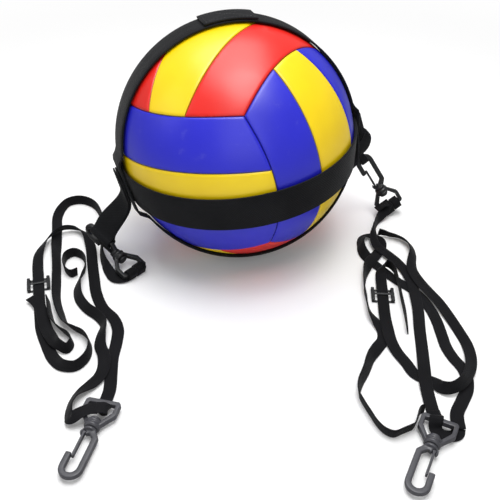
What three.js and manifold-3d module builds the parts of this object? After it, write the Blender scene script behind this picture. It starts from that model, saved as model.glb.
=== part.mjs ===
// Volleyball spike trainer: a ball in a harness of two webbing bands, with a folded tab and a clip
// on each side and two narrow leads that end in snap hooks. Millimetres, +Z up. The origin is on the
// ground under the middle of the ball. The leads lie in front of the ball, towards -Y.
import * as THREE from 'three';
import { mergeVertices } from 'three/addons/utils/BufferGeometryUtils.js';
import Module from 'manifold-3d';

const wasm = await Module();
wasm.setup();

// Fits
const clearance = 0.3;
const overrun = 1;

// Ball
const ballRadius = 105;
const panelThickness = 2.4;
const liningThickness = 1.2;
const bladderThickness = 1;
const seamDepth = 1;
const seamGap = 0.5;
const restDepth = 0.8;
const stripHalfAngle = 14.9;
const seamBowAngle = -6.4;
const stripTaperShare = 0.26;
const panelAlongSteps = 9;
const panelAcrossShares = [0, 0.07, 0.5, 0.93, 1];
const shellSteps = 24;
const valveSides = 16;
const ballHeight = ballRadius - restDepth;
const crownDirection = new THREE.Vector3(-0.1783, -0.0011, 0.984);
const frontDirection = new THREE.Vector3(-0.5259, -0.8451, -0.0963);

// Valve
const valveLiftAngle = 7;
const valveStemRadius = 2.6;
const valveCollarRadius = 5;
const valveNeedleRadius = 0.8;
const valveStemLength = 12;
const valveCollarLength = 4;
const valveNeedleDepth = 4;

// Harness bands
const webbingWidth = 32;
const webbingThickness = 1.8;
const bandSteps = 48;
const beltTiltAngle = 6.3;
const beltDrop = 11.9;
const leftJunctionAngle = 202;
const rightJunctionAngle = 8;
const hoopCrownBack = 12;
const hoopFootForward = 51;
const hoopRamp = 15;
const hoopMargin = 2;
const lapLength = 42;
const lapAngle = 4;

// Tabs
const tabWidth = 24;
const tabThickness = 1.6;
const spineEyeRadius = 3.6;
const bendEyeRadius = 4.5;
const tabSewnLength = 11;
const rightTabRise = 1.7;
const tabBunchedWidth = 7.4;
const tabBarShift = 2;

// Snap hooks
const frameWidth = 27;
const frameThickness = 4.4;
const frameBar = 3.6;
const frameSide = 3.3;
const frameShoulder = 12.5;
const frameLength = 26;
const collarLength = 7;
const collarRadius = 5.2;
const stemRadius = 2.6;
const headRadius = 4.2;
const headLength = 2;
const flangeRadius = 4.8;
const flangeLength = 2.4;
const hookLength = 68;
const hookWidth = 17.5;
const hookBar = 4.4;
const hookThickness = 4.2;
const hookShoulder = 4.5;
const noseLength = 11;
const gateThickness = 1.7;
const gateWidth = 3.4;
const knuckleRadius = 1.3;
const socketWall = 1.4;
const gateOpenAngle = 18;
const gateLap = 2.5;
const arcSteps = 8;
const discSides = 20;
const knuckleSides = 14;

// Sliders
const sliderWidth = 20;
const sliderLength = 17;
const sliderThickness = 4;
const sliderBar = 2.4;
const sliderSide = 2.8;
const sliderBarThickness = 1.2;

// Lead tape
const tapeWidth = 10;
const tapeThickness = 1;
const tapeStep = 16;
const tapeBendStep = 8;
const tapeTightRadius = 30;
const tapeChamferShare = 0.3;

// Places of the loose fittings: the outer middle of each frame's bar, and the way that it points
const leftClipPlace = new THREE.Vector3(-92, -70, 4.6);
const leftClipAxis = new THREE.Vector3(-0.727, 0.606, 0.32);
const rightClipPlace = new THREE.Vector3(157, 33, 8);
const rightClipAxis = new THREE.Vector3(-0.535, 0.049, 0.843);
const rightClipLateral = new THREE.Vector3(0.8, 0.3, 0.5);
const hookAxisHeight = 5.4;
const leftHookPlace = new THREE.Vector3(-95, -223, hookAxisHeight);
const leftHookAngle = -102.7;
const rightHookPlace = new THREE.Vector3(149, -240, hookAxisHeight);
const rightHookAngle = -116.7;
const leftSliderPlace = new THREE.Vector3(-178, -84, 0);
const leftSliderAngle = 105;
const rightSliderPlace = new THREE.Vector3(129, -99, 0);
const rightSliderAngle = 86;

// Colours
const red = 0xe02820;
const blue = 0x3434c8;
const yellow = 0xf2d818;
const black = 0x1a1a1c;
const plastic = 0x48484d;

// Routes of the lead tapes: x, y, the height of what the tape lies on, and its tilt in degrees,
// 0 where it lies flat and 90 where it stands on its edge
const leftMainRoute = [
  [-95, -70, 1.2, 0], [-102.5, -76.5, 1.2, 0], [-110, -76, 0.6, 8], [-117, -67, 0.2, 28],
  [-123, -56, 0.2, 60], [-128, -42, 0.2, 70], [-131, -21, 0.2, 70], [-134, 1, 0.2, 75],
  [-140, 23, 0.2, 80], [-149, 40, 0.2, 80], [-159, 48, 0.2, 80], [-168, 50, 0.2, 80],
  [-177, 46, 0.2, 80], [-182, 35, 0.2, 60], [-184, 22, 0.2, 25], [-181, 5, 0.2, 8], [-177, -15, 0.4, 5],
  [-172, -38, 0.3, 38], [-167, -59, 0.2, 45], [-162, -82, 0.2, 45], [-157, -105, 0.2, 50],
  [-150, -123, 0.2, 50], [-142, -138, 0.2, 60], [-133, -145, 0.2, 75], [-124, -151, 0.2, 80],
  [-117, -163, 0.2, 80], [-117, -177, 0.2, 75], [-124, -187, 0.2, 75], [-134, -186, 0.2, 55],
  [-144, -176, 0.2, 12], [-154, -158, 0.4, 0], [-162, -141, 0.2, 0], [-166.5, -126, 0.8, 0],
  [-171, -110, 1.5, 0], [-174.5, -97, 1.5, 0], [-178, -84, 1.5, 0], [-181.5, -71, 1.5, 0],
  [-185, -58, 1.6, 0], [-188, -41, 1, 15], [-186, -26, 1.2, 45], [-180, -12, 2.4, 60],
  [-172, -3, 2.2, 60], [-161, -1, 0.4, 60], [-150, -8, 0.2, 40], [-142, -26, 0.2, 10],
  [-136, -50, 0.2, 0], [-130, -74, 0.2, 0], [-124, -96, 0.2, 0], [-115, -115, 0.2, 0],
  [-104, -128, 0.2, 5], [-98, -142, 0.2, 5], [-97, -158, 0.2, 0], [-97.5, -174, 0.2, 0],
  [-96, -191, 0.2, 0], [-94.5, -208, 0.2, 0], [-96, -221, 0.4, 0],
];
const leftBackRoute = [
  [-97.3, -233.5, 9.4, 0], [-104, -233.5, 8.8, 0], [-110.5, -237.5, 8.8, 3], [-116.5, -239.5, 4.2, 25],
  [-119.5, -235, 0.4, 50], [-120.5, -226, 0.2, 55], [-118.5, -217, 0.2, 45], [-114, -209.5, 0.8, 20],
  [-108.5, -203, 1.8, 0], [-104, -195.5, 1.9, 0], [-102.5, -186, 1.9, 0], [-104.5, -173, 1.9, 0],
  [-109.5, -161, 0.6, 10], [-110.5, -149, 0.2, 35], [-110.5, -138, 0.2, 55], [-117, -128.5, 0.2, 55],
  [-128, -118.5, 0.2, 50], [-137.5, -104.5, 0.2, 40], [-141.5, -91, 0.2, 45], [-141.5, -79, 0.2, 65],
  [-139.5, -66, 0.2, 80], [-141.5, -53, 0.2, 85], [-147, -44.5, 0.2, 85], [-154.5, -41, 0.2, 85],
  [-160.5, -46, 0.2, 85], [-161, -56, 0.2, 85], [-157, -67, 0.2, 85], [-150.5, -73, 0.2, 85],
  [-145.5, -69.5, 0.2, 80],
];
const leftFoldRoute = [
  [-164, -107, 0.2, 80], [-159, -122, 0.2, 75], [-153, -136, 0.2, 70], [-144, -146, 0.2, 70],
  [-136, -153, 0.2, 80], [-132, -161, 0.2, 80], [-135, -168, 0.2, 75], [-142, -165.5, 3, 60],
  [-150, -155, 3.5, 15], [-158, -141, 2.4, 0], [-163.5, -128, 2.9, 0], [-168.5, -117, 3, 0],
  [-174.5, -109, 3.1, 0], [-180, -104, 3.1, 0],
];
const rightLongRoute = [
  [151.3, 29.3, 12.8, 0], [149.3, 25, 7.3, 15], [145, 19.5, 3, 45], [140, 12.5, 0.6, 75],
  [136.5, 3.5, 0.9, 80], [134.5, -6, 2, 65], [132.5, -17.5, 2, 30], [134.5, -30, 3.2, 0],
  [141, -40, 3, 0], [148.5, -50, 1.8, 0], [154.5, -63, 0.8, 0], [157.5, -80, 1.6, 0],
  [157.5, -98, 1.7, 0], [156.5, -118, 1.4, 0], [153.5, -142, 0.2, 0], [151, -165, 0.2, 0],
  [148, -186.5, 2.1, 0], [146, -203, 2.2, 0], [146, -218, 0.6, 0], [146.5, -234, 0.4, 0],
];
const rightTailRoute = [
  [161, -246, 1.2, 10], [163.5, -231, 0.2, 5], [170, -219.5, 0.2, 0], [176.5, -208, 0.2, 0],
  [179.5, -195.5, 0.2, 0], [178.5, -185.5, 0.2, 0], [174, -174.5, 0.2, 0], [171, -162, 0.2, 0],
  [170.5, -148, 0.2, 0], [170, -132.5, 0.2, 0], [167.5, -116, 0.2, 0], [162.5, -100.5, 0.2, 0],
  [156, -89.5, 0.2, 0], [147.5, -80.5, 0.2, 0], [140, -71, 0.2, 0], [132.5, -59.5, 0.2, 0],
  [125.5, -49.5, 0.2, 5], [119.5, -39, 0.2, 40], [118.5, -26.5, 0.2, 55], [122.5, -13.5, 0.2, 30],
  [131.5, -9.5, 0.2, 0], [139, -15.5, 0.2, 0], [138, -29, 0.3, 0], [130.5, -43, 1.6, 5],
  [122.5, -56.5, 1.8, 30], [116.5, -73.5, 0.4, 70], [113.5, -92, 0.2, 85], [113.5, -108, 0.2, 82],
  [113.5, -118, 0.2, 75], [115.5, -127, 0.2, 45], [119.5, -136, 0.2, 14], [122.3, -144.5, 0.2, 0],
  [121, -154, 0.2, 0], [114.5, -165, 0.2, 20], [107.5, -177, 0.2, 50], [102, -191, 0.2, 60],
  [95.5, -205, 0.2, 70], [93.5, -215, 0.2, 80], [96, -224.5, 0.2, 80], [99.5, -234, 0.2, 80],
  [103.5, -244, 0.2, 80], [108, -250, 0.2, 80], [113.5, -252.5, 0.2, 80], [120.5, -249.5, 0.2, 80],
  [128, -246, 0.2, 80],
];
const rightBackRoute = [
  [149, -12, 0.2, 60], [156.5, -14.5, 0.2, 50], [164.5, -23.5, 0.2, 50], [166.5, -38, 0.2, 50],
  [163, -52, 0.6, 30], [161, -64.5, 2.5, 5], [164, -81.5, 3.5, 0], [169.5, -95.5, 3.2, 0],
  [175.5, -108.5, 2.5, 0], [180.5, -124, 1.5, 0], [185.5, -142.5, 0.2, 0], [188.5, -160, 0.3, 0],
  [187.5, -175.5, 0.6, 10], [182, -192, 1.8, 30], [173, -205.5, 3, 50], [163, -211.5, 2.6, 60],
  [157, -208.5, 0.4, 50], [153, -200.5, 0.2, 6], [147, -197, 0.2, 0], [140, -191.5, 0.2, 0],
  [135.5, -180, 0.2, 0], [130, -168, 0.8, 0], [127, -156.5, 2, 0], [126.5, -142.5, 2.2, 0],
  [126.5, -129, 2.05, 0], [128, -110, 1.5, 0], [129, -99, 1.5, 0], [130, -86, 1.5, 0],
  [131, -75, 1.9, 0], [132.5, -66, 2.6, 50], [138, -61, 2.6, 80], [143, -68, 2.6, 85],
  [144, -87, 2.6, 85], [144, -106, 0.4, 85], [143.5, -127, 0.2, 85], [142, -147, 0.2, 80],
];

const up = new THREE.Vector3(0, 0, 1);
const ballMiddle = new THREE.Vector3(0, 0, ballHeight);

function radians(degrees) {
  return THREE.MathUtils.degToRad(degrees);
}

function mix(a, b, share) {
  return a + (b - a) * share;
}

function along(start, direction, distance) {
  return start.clone().addScaledVector(direction, distance);
}

// Meshes and cuts

function signedVolume(geometry) {
  const place = geometry.attributes.position;
  const index = geometry.index;
  const corners = [new THREE.Vector3(), new THREE.Vector3(), new THREE.Vector3()];
  let total = 0;
  for (let i = 0; i < index.count; i += 3) {
    corners.forEach((corner, k) => corner.fromBufferAttribute(place, index.getX(i + k)));
    total += corners[0].dot(corners[1].clone().cross(corners[2])) / 6;
  }
  return total;
}

function geometryFrom(points, triangles) {
  const geometry = new THREE.BufferGeometry();
  const places = points.flatMap((p) => p.toArray());
  geometry.setAttribute('position', new THREE.Float32BufferAttribute(places, 3));
  geometry.setIndex(triangles.flat());
  if (signedVolume(geometry) < 0) geometry.setIndex(triangles.flatMap(([a, b, c]) => [a, c, b]));
  geometry.computeVertexNormals();
  return geometry;
}

// A skin through rings of points, with its ends closed by strips between each ring's two halves. The
// halves are split along matching diagonals, so that a thin strip keeps its thickness where it twists
function loft(rings, closed = false) {
  const size = rings[0].length;
  const points = rings.flat();
  const triangles = [];
  const quad = (a, b, c, d) => triangles.push([a, b, c], [a, c, d]);
  const spans = closed ? rings.length : rings.length - 1;
  for (let i = 0; i < spans; i += 1) {
    const here = i * size;
    const next = ((i + 1) % rings.length) * size;
    for (let j = 0; j < size; j += 1) {
      const k = (j + 1) % size;
      if (j < size / 2) quad(here + j, here + k, next + k, next + j);
      else quad(here + k, next + k, next + j, here + j);
    }
  }
  if (!closed) {
    const last = (rings.length - 1) * size;
    for (let j = 0; j < size / 2 - 1; j += 1) {
      quad(j, size - 1 - j, size - 2 - j, j + 1);
      quad(last + j, last + j + 1, last + size - 2 - j, last + size - 1 - j);
    }
  }
  return geometryFrom(points, triangles);
}

function toSolid(geometry) {
  const bare = geometry.clone();
  bare.deleteAttribute('normal');
  bare.deleteAttribute('uv');
  const merged = mergeVertices(bare);
  return new wasm.Manifold(new wasm.Mesh({
    numProp: 3,
    vertProperties: new Float32Array(merged.attributes.position.array),
    triVerts: new Uint32Array(merged.index.array),
  }));
}

function toGeometry(solid) {
  const mesh = solid.getMesh();
  const geometry = new THREE.BufferGeometry();
  geometry.setAttribute('position', new THREE.Float32BufferAttribute(mesh.vertProperties, 3));
  geometry.setIndex(new THREE.Uint32BufferAttribute(mesh.triVerts, 1));
  geometry.computeVertexNormals();
  return geometry;
}

function join(first, ...others) {
  return others.reduce((sum, other) => sum.add(toSolid(other)), toSolid(first));
}

function cut(solid, ...tools) {
  return tools.reduce((rest, tool) => rest.subtract(toSolid(tool)), solid);
}

function slab(shape, thickness) {
  const settings = { depth: thickness, bevelEnabled: false, curveSegments: arcSteps };
  const geometry = new THREE.ExtrudeGeometry(shape, settings);
  return geometry.translate(0, 0, -thickness / 2);
}

// A round bar along X
function bar(radius, from, to, sides = 16) {
  const geometry = new THREE.CylinderGeometry(radius, radius, to - from, sides);
  return geometry.rotateZ(-Math.PI / 2).translate((from + to) / 2, 0, 0);
}

function outline(points) {
  return new THREE.Shape(points.map(([x, y]) => new THREE.Vector2(x, y)));
}

// Pieces and materials

const finishes = new Map();

function finish(colour, roughness) {
  const key = `${colour} ${roughness}`;
  if (!finishes.has(key)) {
    finishes.set(key, new THREE.MeshStandardMaterial({ color: colour, roughness, metalness: 0 }));
  }
  return finishes.get(key);
}

function piece(name, geometry, material) {
  const mesh = new THREE.Mesh(geometry, material);
  mesh.name = name;
  return mesh;
}

// Ball: six faces of three strips, as on a cube. A face is its outward direction, the way its strips
// run and the way across them.

const crown = crownDirection.clone().normalize();
const front = along(frontDirection, crown, -frontDirection.dot(crown)).normalize();
const side = crown.clone().cross(front);
const cubeCornerAngle = Math.atan(Math.SQRT1_2);

function seamBow(angle) {
  return radians(seamBowAngle) * (1 - (angle / cubeCornerAngle) ** 2);
}

// The latitude of a face's strip lines at a longitude: line 0 is its middle, 1 a strip line, 2 a seam
function stripLatitude(line, longitude) {
  if (line === 1) {
    return radians(stripHalfAngle) * (1 - stripTaperShare * (longitude / radians(45)) ** 2);
  }
  let latitude = radians(45);
  for (let i = 0; i < 8; i += 1) {
    const runAngle = Math.asin(Math.cos(latitude) * Math.sin(longitude));
    latitude = Math.atan(Math.cos(longitude) * Math.tan(radians(45) + seamBow(runAngle)));
  }
  return latitude;
}

function stripPoint(face, lines, u, v, radius) {
  const inset = seamGap / 2 / ballRadius;
  let longitude = u * radians(45);
  let latitude = 0;
  for (let i = 0; i < 8; i += 1) {
    const [low, high] = lines.map((line) => Math.sign(line) * stripLatitude(Math.abs(line), longitude));
    latitude = mix(low + inset, high - inset, v);
    longitude = u * (radians(45) - seamBow(latitude) - inset / Math.cos(latitude));
  }
  const point = face.out.clone().multiplyScalar(Math.cos(latitude) * Math.cos(longitude));
  point.addScaledVector(face.run, Math.cos(latitude) * Math.sin(longitude));
  point.addScaledVector(face.across, Math.sin(latitude));
  return point.multiplyScalar(radius);
}

function panelGeometry(face, lines) {
  const rows = Array.from({ length: panelAlongSteps + 1 }, (unused, i) => 2 * (i / panelAlongSteps) - 1);
  const edgeRow = panelAcrossShares[1];
  const uShares = [-1, -1 + edgeRow, ...rows.slice(1, -1), 1 - edgeRow, 1];
  const rings = uShares.map((u) => {
    const skin = panelAcrossShares.map((v) => {
      const atEdge = Math.abs(u) === 1 || v === 0 || v === 1;
      return stripPoint(face, lines, u, v, ballRadius - (atEdge ? seamDepth : 0));
    });
    const inside = ballRadius - panelThickness;
    const underside = panelAcrossShares.map((v) => stripPoint(face, lines, u, v, inside));
    return [...skin, ...underside.reverse()];
  });
  return loft(rings);
}

// A thin ball with a round opening round the valve
function shellGeometry(outerRadius, thickness, openingRadius) {
  const profile = [];
  const arc = (radius, from, to) => {
    for (let i = 0; i <= shellSteps / 2; i += 1) {
      const angle = mix(from, to, i / (shellSteps / 2));
      profile.push(new THREE.Vector2(Math.max(0, radius * Math.sin(angle)), radius * Math.cos(angle)));
    }
  };
  const innerRadius = outerRadius - thickness;
  arc(outerRadius, Math.PI, Math.asin(openingRadius / outerRadius));
  arc(innerRadius, Math.asin(openingRadius / innerRadius), Math.PI);
  return new THREE.LatheGeometry(profile, shellSteps);
}

function valveDirection() {
  return front.clone().negate().applyAxisAngle(side, radians(valveLiftAngle));
}

function facing(mesh, direction) {
  mesh.quaternion.setFromUnitVectors(new THREE.Vector3(0, 1, 0), direction);
  return mesh;
}

function buildBall() {
  const ball = new THREE.Group();
  const faces = [
    { name: 'top', out: crown, run: front, across: side, middle: yellow, outer: red },
    { name: 'bottom', out: crown.clone().negate(), run: front, across: side, middle: yellow, outer: red },
    { name: 'right', out: side, run: crown, across: front, middle: yellow, outer: blue },
    { name: 'left', out: side.clone().negate(), run: crown, across: front, middle: yellow, outer: blue },
    { name: 'front', out: front, run: side, across: crown, middle: blue, outer: blue },
    { name: 'back', out: front.clone().negate(), run: side, across: crown, middle: blue, outer: blue },
  ];
  const strips = [[-2, -1], [-1, 1], [1, 2]];
  const stem = valveStemRadius + clearance;
  const floorTool = new THREE.BoxGeometry(ballRadius, ballRadius, ballRadius);
  floorTool.translate(0, 0, -ballHeight - ballRadius / 2);
  const valveTool = new THREE.CylinderGeometry(stem, stem, 2 * valveStemLength, valveSides);
  valveTool.translate(0, ballRadius, 0);
  const upright = new THREE.Vector3(0, 1, 0);
  valveTool.applyQuaternion(new THREE.Quaternion().setFromUnitVectors(upright, valveDirection()));
  for (const face of faces) {
    const isBelt = face.name === 'front' || face.name === 'back';
    strips.forEach((lines, i) => {
      const colour = i === 1 ? (isBelt ? yellow : face.middle) : face.outer;
      let geometry = panelGeometry(face, lines);
      if (face.name === 'back' && i === 1) geometry = toGeometry(cut(toSolid(geometry), valveTool));
      if (face.name === 'bottom') geometry = toGeometry(cut(toSolid(geometry), floorTool));
      ball.add(piece(`panel_${face.name}_${i + 1}`, geometry, finish(colour, 0.45)));
    });
  }
  const panelChord = Math.cos(Math.hypot(radians(45) / panelAlongSteps, radians(stripHalfAngle) / 2));
  const shellChord = Math.cos(Math.PI / shellSteps);
  const liningRadius = (ballRadius - panelThickness) * panelChord - clearance;
  const bladderRadius = (liningRadius - liningThickness) * shellChord * shellChord - clearance;
  const opening = valveCollarRadius + clearance;
  const lining = shellGeometry(liningRadius, liningThickness, opening / shellChord);
  const bladder = shellGeometry(bladderRadius, bladderThickness, opening / shellChord);
  ball.add(facing(piece('carcass_lining', lining, finish(0xd8d2c0, 0.9)), valveDirection()));
  ball.add(facing(piece('bladder', bladder, finish(black, 0.6)), valveDirection()));
  ball.add(facing(piece('valve', valveGeometry(liningRadius), finish(black, 0.5)), valveDirection()));
  ball.position.copy(ballMiddle);
  return ball;
}

function valveGeometry(seatRadius) {
  const mouth = ballRadius - seamDepth;
  const collarTop = seatRadius - clearance;
  const foot = mouth - valveStemLength;
  const floor = mouth - valveNeedleDepth;
  const profile = [
    [0, foot], [valveStemRadius, foot], [valveStemRadius, collarTop - valveCollarLength],
    [valveCollarRadius, collarTop - valveCollarLength], [valveCollarRadius, collarTop],
    [valveStemRadius, collarTop], [valveStemRadius, mouth], [valveNeedleRadius, mouth],
    [valveNeedleRadius, floor], [0, floor],
  ];
  return new THREE.LatheGeometry(profile.map(([x, y]) => new THREE.Vector2(x, y)), 16);
}

// Webbing: a flat band through stations. A station is its centre, the way across and the way out.

function bandRing(station, width, thickness) {
  const across = station.across.clone().multiplyScalar(width / 2);
  const out = station.out.clone().multiplyScalar(thickness / 2);
  const corner = (a, o) => station.centre.clone().addScaledVector(across, a).addScaledVector(out, o);
  return [corner(-1, 1), corner(1, 1), corner(1, -1), corner(-1, -1)];
}

// The place on the belt's circle at an angle round it, measured from the middle of the ball
const beltNormal = new THREE.Vector3(-Math.sin(radians(beltTiltAngle)), 0, Math.cos(radians(beltTiltAngle)));

function beltPoint(angle, radius) {
  const ring = Math.sqrt(radius ** 2 - beltDrop ** 2);
  const level = new THREE.Vector3(Math.cos(radians(beltTiltAngle)), 0, Math.sin(radians(beltTiltAngle)));
  const point = beltNormal.clone().multiplyScalar(-beltDrop);
  point.addScaledVector(level, ring * Math.cos(radians(angle)));
  return point.addScaledVector(new THREE.Vector3(0, 1, 0), ring * Math.sin(radians(angle)));
}

const bandChord = Math.cos(Math.PI / bandSteps);
const beltRadius = ballRadius / bandChord + clearance + webbingThickness / 2;
const beltTop = beltRadius + webbingThickness / 2;
const hoopOverBelt = beltTop / bandChord + clearance + webbingThickness / 2;
const hoopTop = hoopOverBelt + webbingThickness / 2;
const leftJunction = beltPoint(leftJunctionAngle, ballRadius).normalize();
const rightJunction = beltPoint(rightJunctionAngle, ballRadius).normalize();

function buildBelt() {
  const rings = [];
  for (let i = 0; i < bandSteps; i += 1) {
    const out = beltPoint((360 * i) / bandSteps, ballRadius).normalize();
    const centre = out.clone().multiplyScalar(beltRadius);
    const run = beltNormal.clone().cross(out).normalize();
    rings.push(bandRing({ centre, across: out.clone().cross(run), out }, webbingWidth, webbingThickness));
  }
  return piece('harness_belt', loft(rings, true), finish(black, 0.85));
}

// The arc of a circle on the ball from one direction through a middle one to another
function arcDirections(from, through, to, steps) {
  const axis = through.clone().sub(from).cross(to.clone().sub(through)).normalize();
  const centre = axis.clone().multiplyScalar(axis.dot(from));
  const spoke = from.clone().sub(centre);
  const sideways = axis.clone().cross(spoke);
  const angleOf = (point) => {
    const offset = point.clone().sub(centre);
    const angle = Math.atan2(offset.dot(sideways), offset.dot(spoke));
    return angle < 0 ? angle + 2 * Math.PI : angle;
  };
  const sweep = angleOf(to);
  return Array.from({ length: steps + 1 }, (unused, i) => {
    const angle = (sweep * i) / steps;
    const place = centre.clone().addScaledVector(spoke, Math.cos(angle));
    return place.addScaledVector(sideways, Math.sin(angle));
  });
}

// The hoop lies on the ball and rises over the belt at both junctions
function hoopRadiusAt(out, across) {
  const fromBelt = Math.abs(Math.asin(out.dot(beltNormal)) + Math.asin(beltDrop / ballRadius));
  const reach = (webbingWidth / 2) * (1 + Math.abs(across.dot(beltNormal)));
  const flatEnd = (reach + hoopMargin) / ballRadius;
  const rampEnd = flatEnd + hoopRamp / ballRadius;
  const bridge = hoopOverBelt / Math.cos(Math.min(fromBelt, flatEnd));
  if (fromBelt >= rampEnd) return beltRadius;
  const share = Math.max(0, (fromBelt - flatEnd) / (rampEnd - flatEnd));
  return mix(bridge, beltRadius, share * share * (3 - 2 * share));
}

const crownRise = Math.sqrt(ballRadius ** 2 - hoopCrownBack ** 2);
const footDrop = Math.sqrt(ballRadius ** 2 - hoopFootForward ** 2);
const crownPoint = new THREE.Vector3(0, hoopCrownBack, crownRise).normalize();
const footPoint = new THREE.Vector3(0, -hoopFootForward, -footDrop).normalize();

function hoopDirections() {
  const over = arcDirections(leftJunction, crownPoint, rightJunction, bandSteps / 2);
  const under = arcDirections(rightJunction, footPoint, leftJunction, bandSteps / 2);
  return [...over.slice(0, -1), ...under.slice(0, -1)];
}

function bandStations(directions, radiusAt, closed) {
  const count = directions.length;
  return directions.map((out, i) => {
    const before = closed ? directions[(i + count - 1) % count] : directions[Math.max(i - 1, 0)];
    const after = closed ? directions[(i + 1) % count] : directions[Math.min(i + 1, count - 1)];
    const run = after.clone().sub(before).normalize();
    const across = out.clone().cross(run).normalize();
    return { centre: out.clone().multiplyScalar(radiusAt(out, across)), across, out };
  });
}

function buildHoop() {
  const stations = bandStations(hoopDirections(), hoopRadiusAt, true);
  const rings = stations.map((station) => bandRing(station, webbingWidth, webbingThickness));
  return piece('harness_hoop', loft(rings, true), finish(black, 0.85));
}

// The hoop's sewn overlap, a second layer behind its crown
function buildHoopLap() {
  const directions = arcDirections(leftJunction, crownPoint, rightJunction, bandSteps);
  const middle = Math.round(bandSteps / 2 + lapAngle / (360 / (2 * bandSteps)));
  const reach = Math.round((lapLength / 2 / ballRadius) / (Math.PI / bandSteps));
  const part = directions.slice(middle - reach, middle + reach + 1);
  const lift = beltRadius + webbingThickness + clearance * 2;
  const stations = bandStations(part, () => lift, false);
  const rings = stations.map((station) => bandRing(station, webbingWidth, webbingThickness));
  return piece('hoop_lap', loft(rings), finish(black, 0.85));
}

// Tab: one strip that runs from the junction to its eye, round it, and back under itself
function buildTab(name, junction, rise, eye) {
  const layer = (tabThickness + clearance) / 2;
  const seat = hoopTop + rise + clearance + tabThickness + clearance / 2;
  const start = junction.clone().multiplyScalar(seat);
  const whole = eye.centre.clone().sub(start);
  const down = along(whole, junction, -whole.dot(junction)).normalize();
  const endRun = whole.clone().normalize();
  endRun.addScaledVector(eye.across, -endRun.dot(eye.across)).normalize();
  const loopRadius = eye.radius + tabThickness / 2;
  const neck = along(eye.centre, endRun, -2 * loopRadius);
  const sewnEnd = along(start, down, tabSewnLength);
  const handle = sewnEnd.distanceTo(neck) / 3;
  const path = new THREE.CurvePath();
  path.add(new THREE.LineCurve3(along(start, down, -tabSewnLength), sewnEnd));
  const leaving = along(sewnEnd, down, handle);
  const arriving = along(neck, endRun, -handle);
  path.add(new THREE.CubicBezierCurve3(sewnEnd, leaving, arriving, neck));
  const firstAcross = junction.clone().cross(down).normalize();
  const steps = 14;
  const legs = Array.from({ length: steps + 1 }, (unused, i) => {
    const share = i / steps;
    const run = path.getTangent(share).normalize();
    const turned = Math.max(0, (share - 0.35) / 0.65);
    const across = firstAcross.clone().lerp(eye.across, turned * turned * (3 - 2 * turned));
    across.addScaledVector(run, -across.dot(run)).normalize();
    const width = mix(tabWidth, eye.width, turned * turned * (3 - 2 * turned));
    return { centre: path.getPoint(share), across, out: run.clone().cross(across), width };
  });
  const endOut = endRun.clone().cross(eye.across);
  const loopSteps = 12;
  const gapAngle = radians(35);
  const loop = Array.from({ length: loopSteps + 1 }, (unused, i) => {
    const angle = mix(gapAngle, 2 * Math.PI - gapAngle, i / loopSteps);
    const out = endRun.clone().multiplyScalar(-Math.cos(angle)).addScaledVector(endOut, Math.sin(angle));
    return { centre: along(eye.centre, out, loopRadius), across: eye.across, out, width: eye.width };
  });
  const outer = legs.map((leg) => ({ ...leg, centre: along(leg.centre, leg.out, layer) }));
  const inner = legs.map((leg) => {
    const centre = along(leg.centre, leg.out, -layer);
    return { ...leg, centre, out: leg.out.clone().negate() };
  });
  const stations = [...outer, ...loop, ...inner.reverse()];
  const rings = stations.map((station) => bandRing(station, station.width, tabThickness));
  return piece(name, loft(rings), finish(black, 0.85));
}

// Snap hook in its own frame: +X from the strap bar to the bend, +Y to the spine, flat in XY

const collarStart = frameLength - collarLength;
const flangeStart = frameLength + clearance;
const neckStart = flangeStart + flangeLength;
const bendMiddle = hookLength - hookWidth / 2;
const spineMiddle = hookWidth / 2 - hookBar / 2;
const noseEnd = bendMiddle - noseLength;
const gateLine = -hookWidth / 2 + hookBar + clearance + gateThickness / 2;
const gatePivot = neckStart + knuckleRadius + clearance;
const socketRadius = knuckleRadius + clearance;

function frameGeometry() {
  const half = frameWidth / 2;
  const corner = frameBar / 2;
  const waist = collarRadius + frameSide;
  const upper = [
    [0, half - corner], [corner, half], [frameShoulder, half], [collarStart, waist],
    [frameLength - collarLength / 3, collarRadius], [frameLength, collarRadius],
  ];
  const lower = upper.map(([x, y]) => [x, -y]).reverse();
  const shape = outline([...upper, ...lower]);
  const inner = half - frameSide;
  const windowEnd = collarStart;
  const windowUpper = [
    [frameBar, inner], [frameShoulder - corner, inner], [windowEnd, headRadius + 2 * clearance],
  ];
  const window = outline([...windowUpper, ...windowUpper.map(([x, y]) => [x, -y]).reverse()]);
  const body = join(slab(shape, frameThickness), bar(collarRadius, collarStart, frameLength));
  const windowTool = slab(window, 2 * collarRadius + overrun);
  return toGeometry(cut(body, windowTool, bar(stemRadius + clearance, frameBar, frameLength + overrun)));
}

function hookOutline() {
  const half = hookWidth / 2;
  const inner = half - hookBar;
  const neck = flangeRadius - clearance;
  const shape = new THREE.Shape();
  shape.moveTo(neckStart - flangeLength / 2, neck);
  shape.lineTo(neckStart + hookShoulder, half);
  shape.lineTo(bendMiddle, half);
  shape.absarc(bendMiddle, 0, half, Math.PI / 2, -Math.PI / 2, true);
  shape.lineTo(noseEnd, -half);
  shape.lineTo(noseEnd - clearance, -half + hookBar / 3);
  shape.lineTo(noseEnd, -inner);
  shape.lineTo(bendMiddle, -inner);
  shape.absarc(bendMiddle, 0, inner, -Math.PI / 2, Math.PI / 2, false);
  shape.lineTo(neckStart + hookShoulder + hookBar / 4, inner);
  shape.lineTo(neckStart + hookBar / 2, inner / 4);
  shape.lineTo(neckStart + hookBar / 2, -neck);
  shape.lineTo(neckStart - flangeLength / 2, -neck);
  return shape;
}

function gateTool(angle) {
  const width = gateThickness + 2 * clearance;
  const reach = 4 * socketRadius;
  const box = new THREE.BoxGeometry(reach, width, hookThickness + overrun).translate(reach / 2, 0, 0);
  return box.rotateZ(radians(angle)).translate(gatePivot, gateLine, 0);
}

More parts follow.
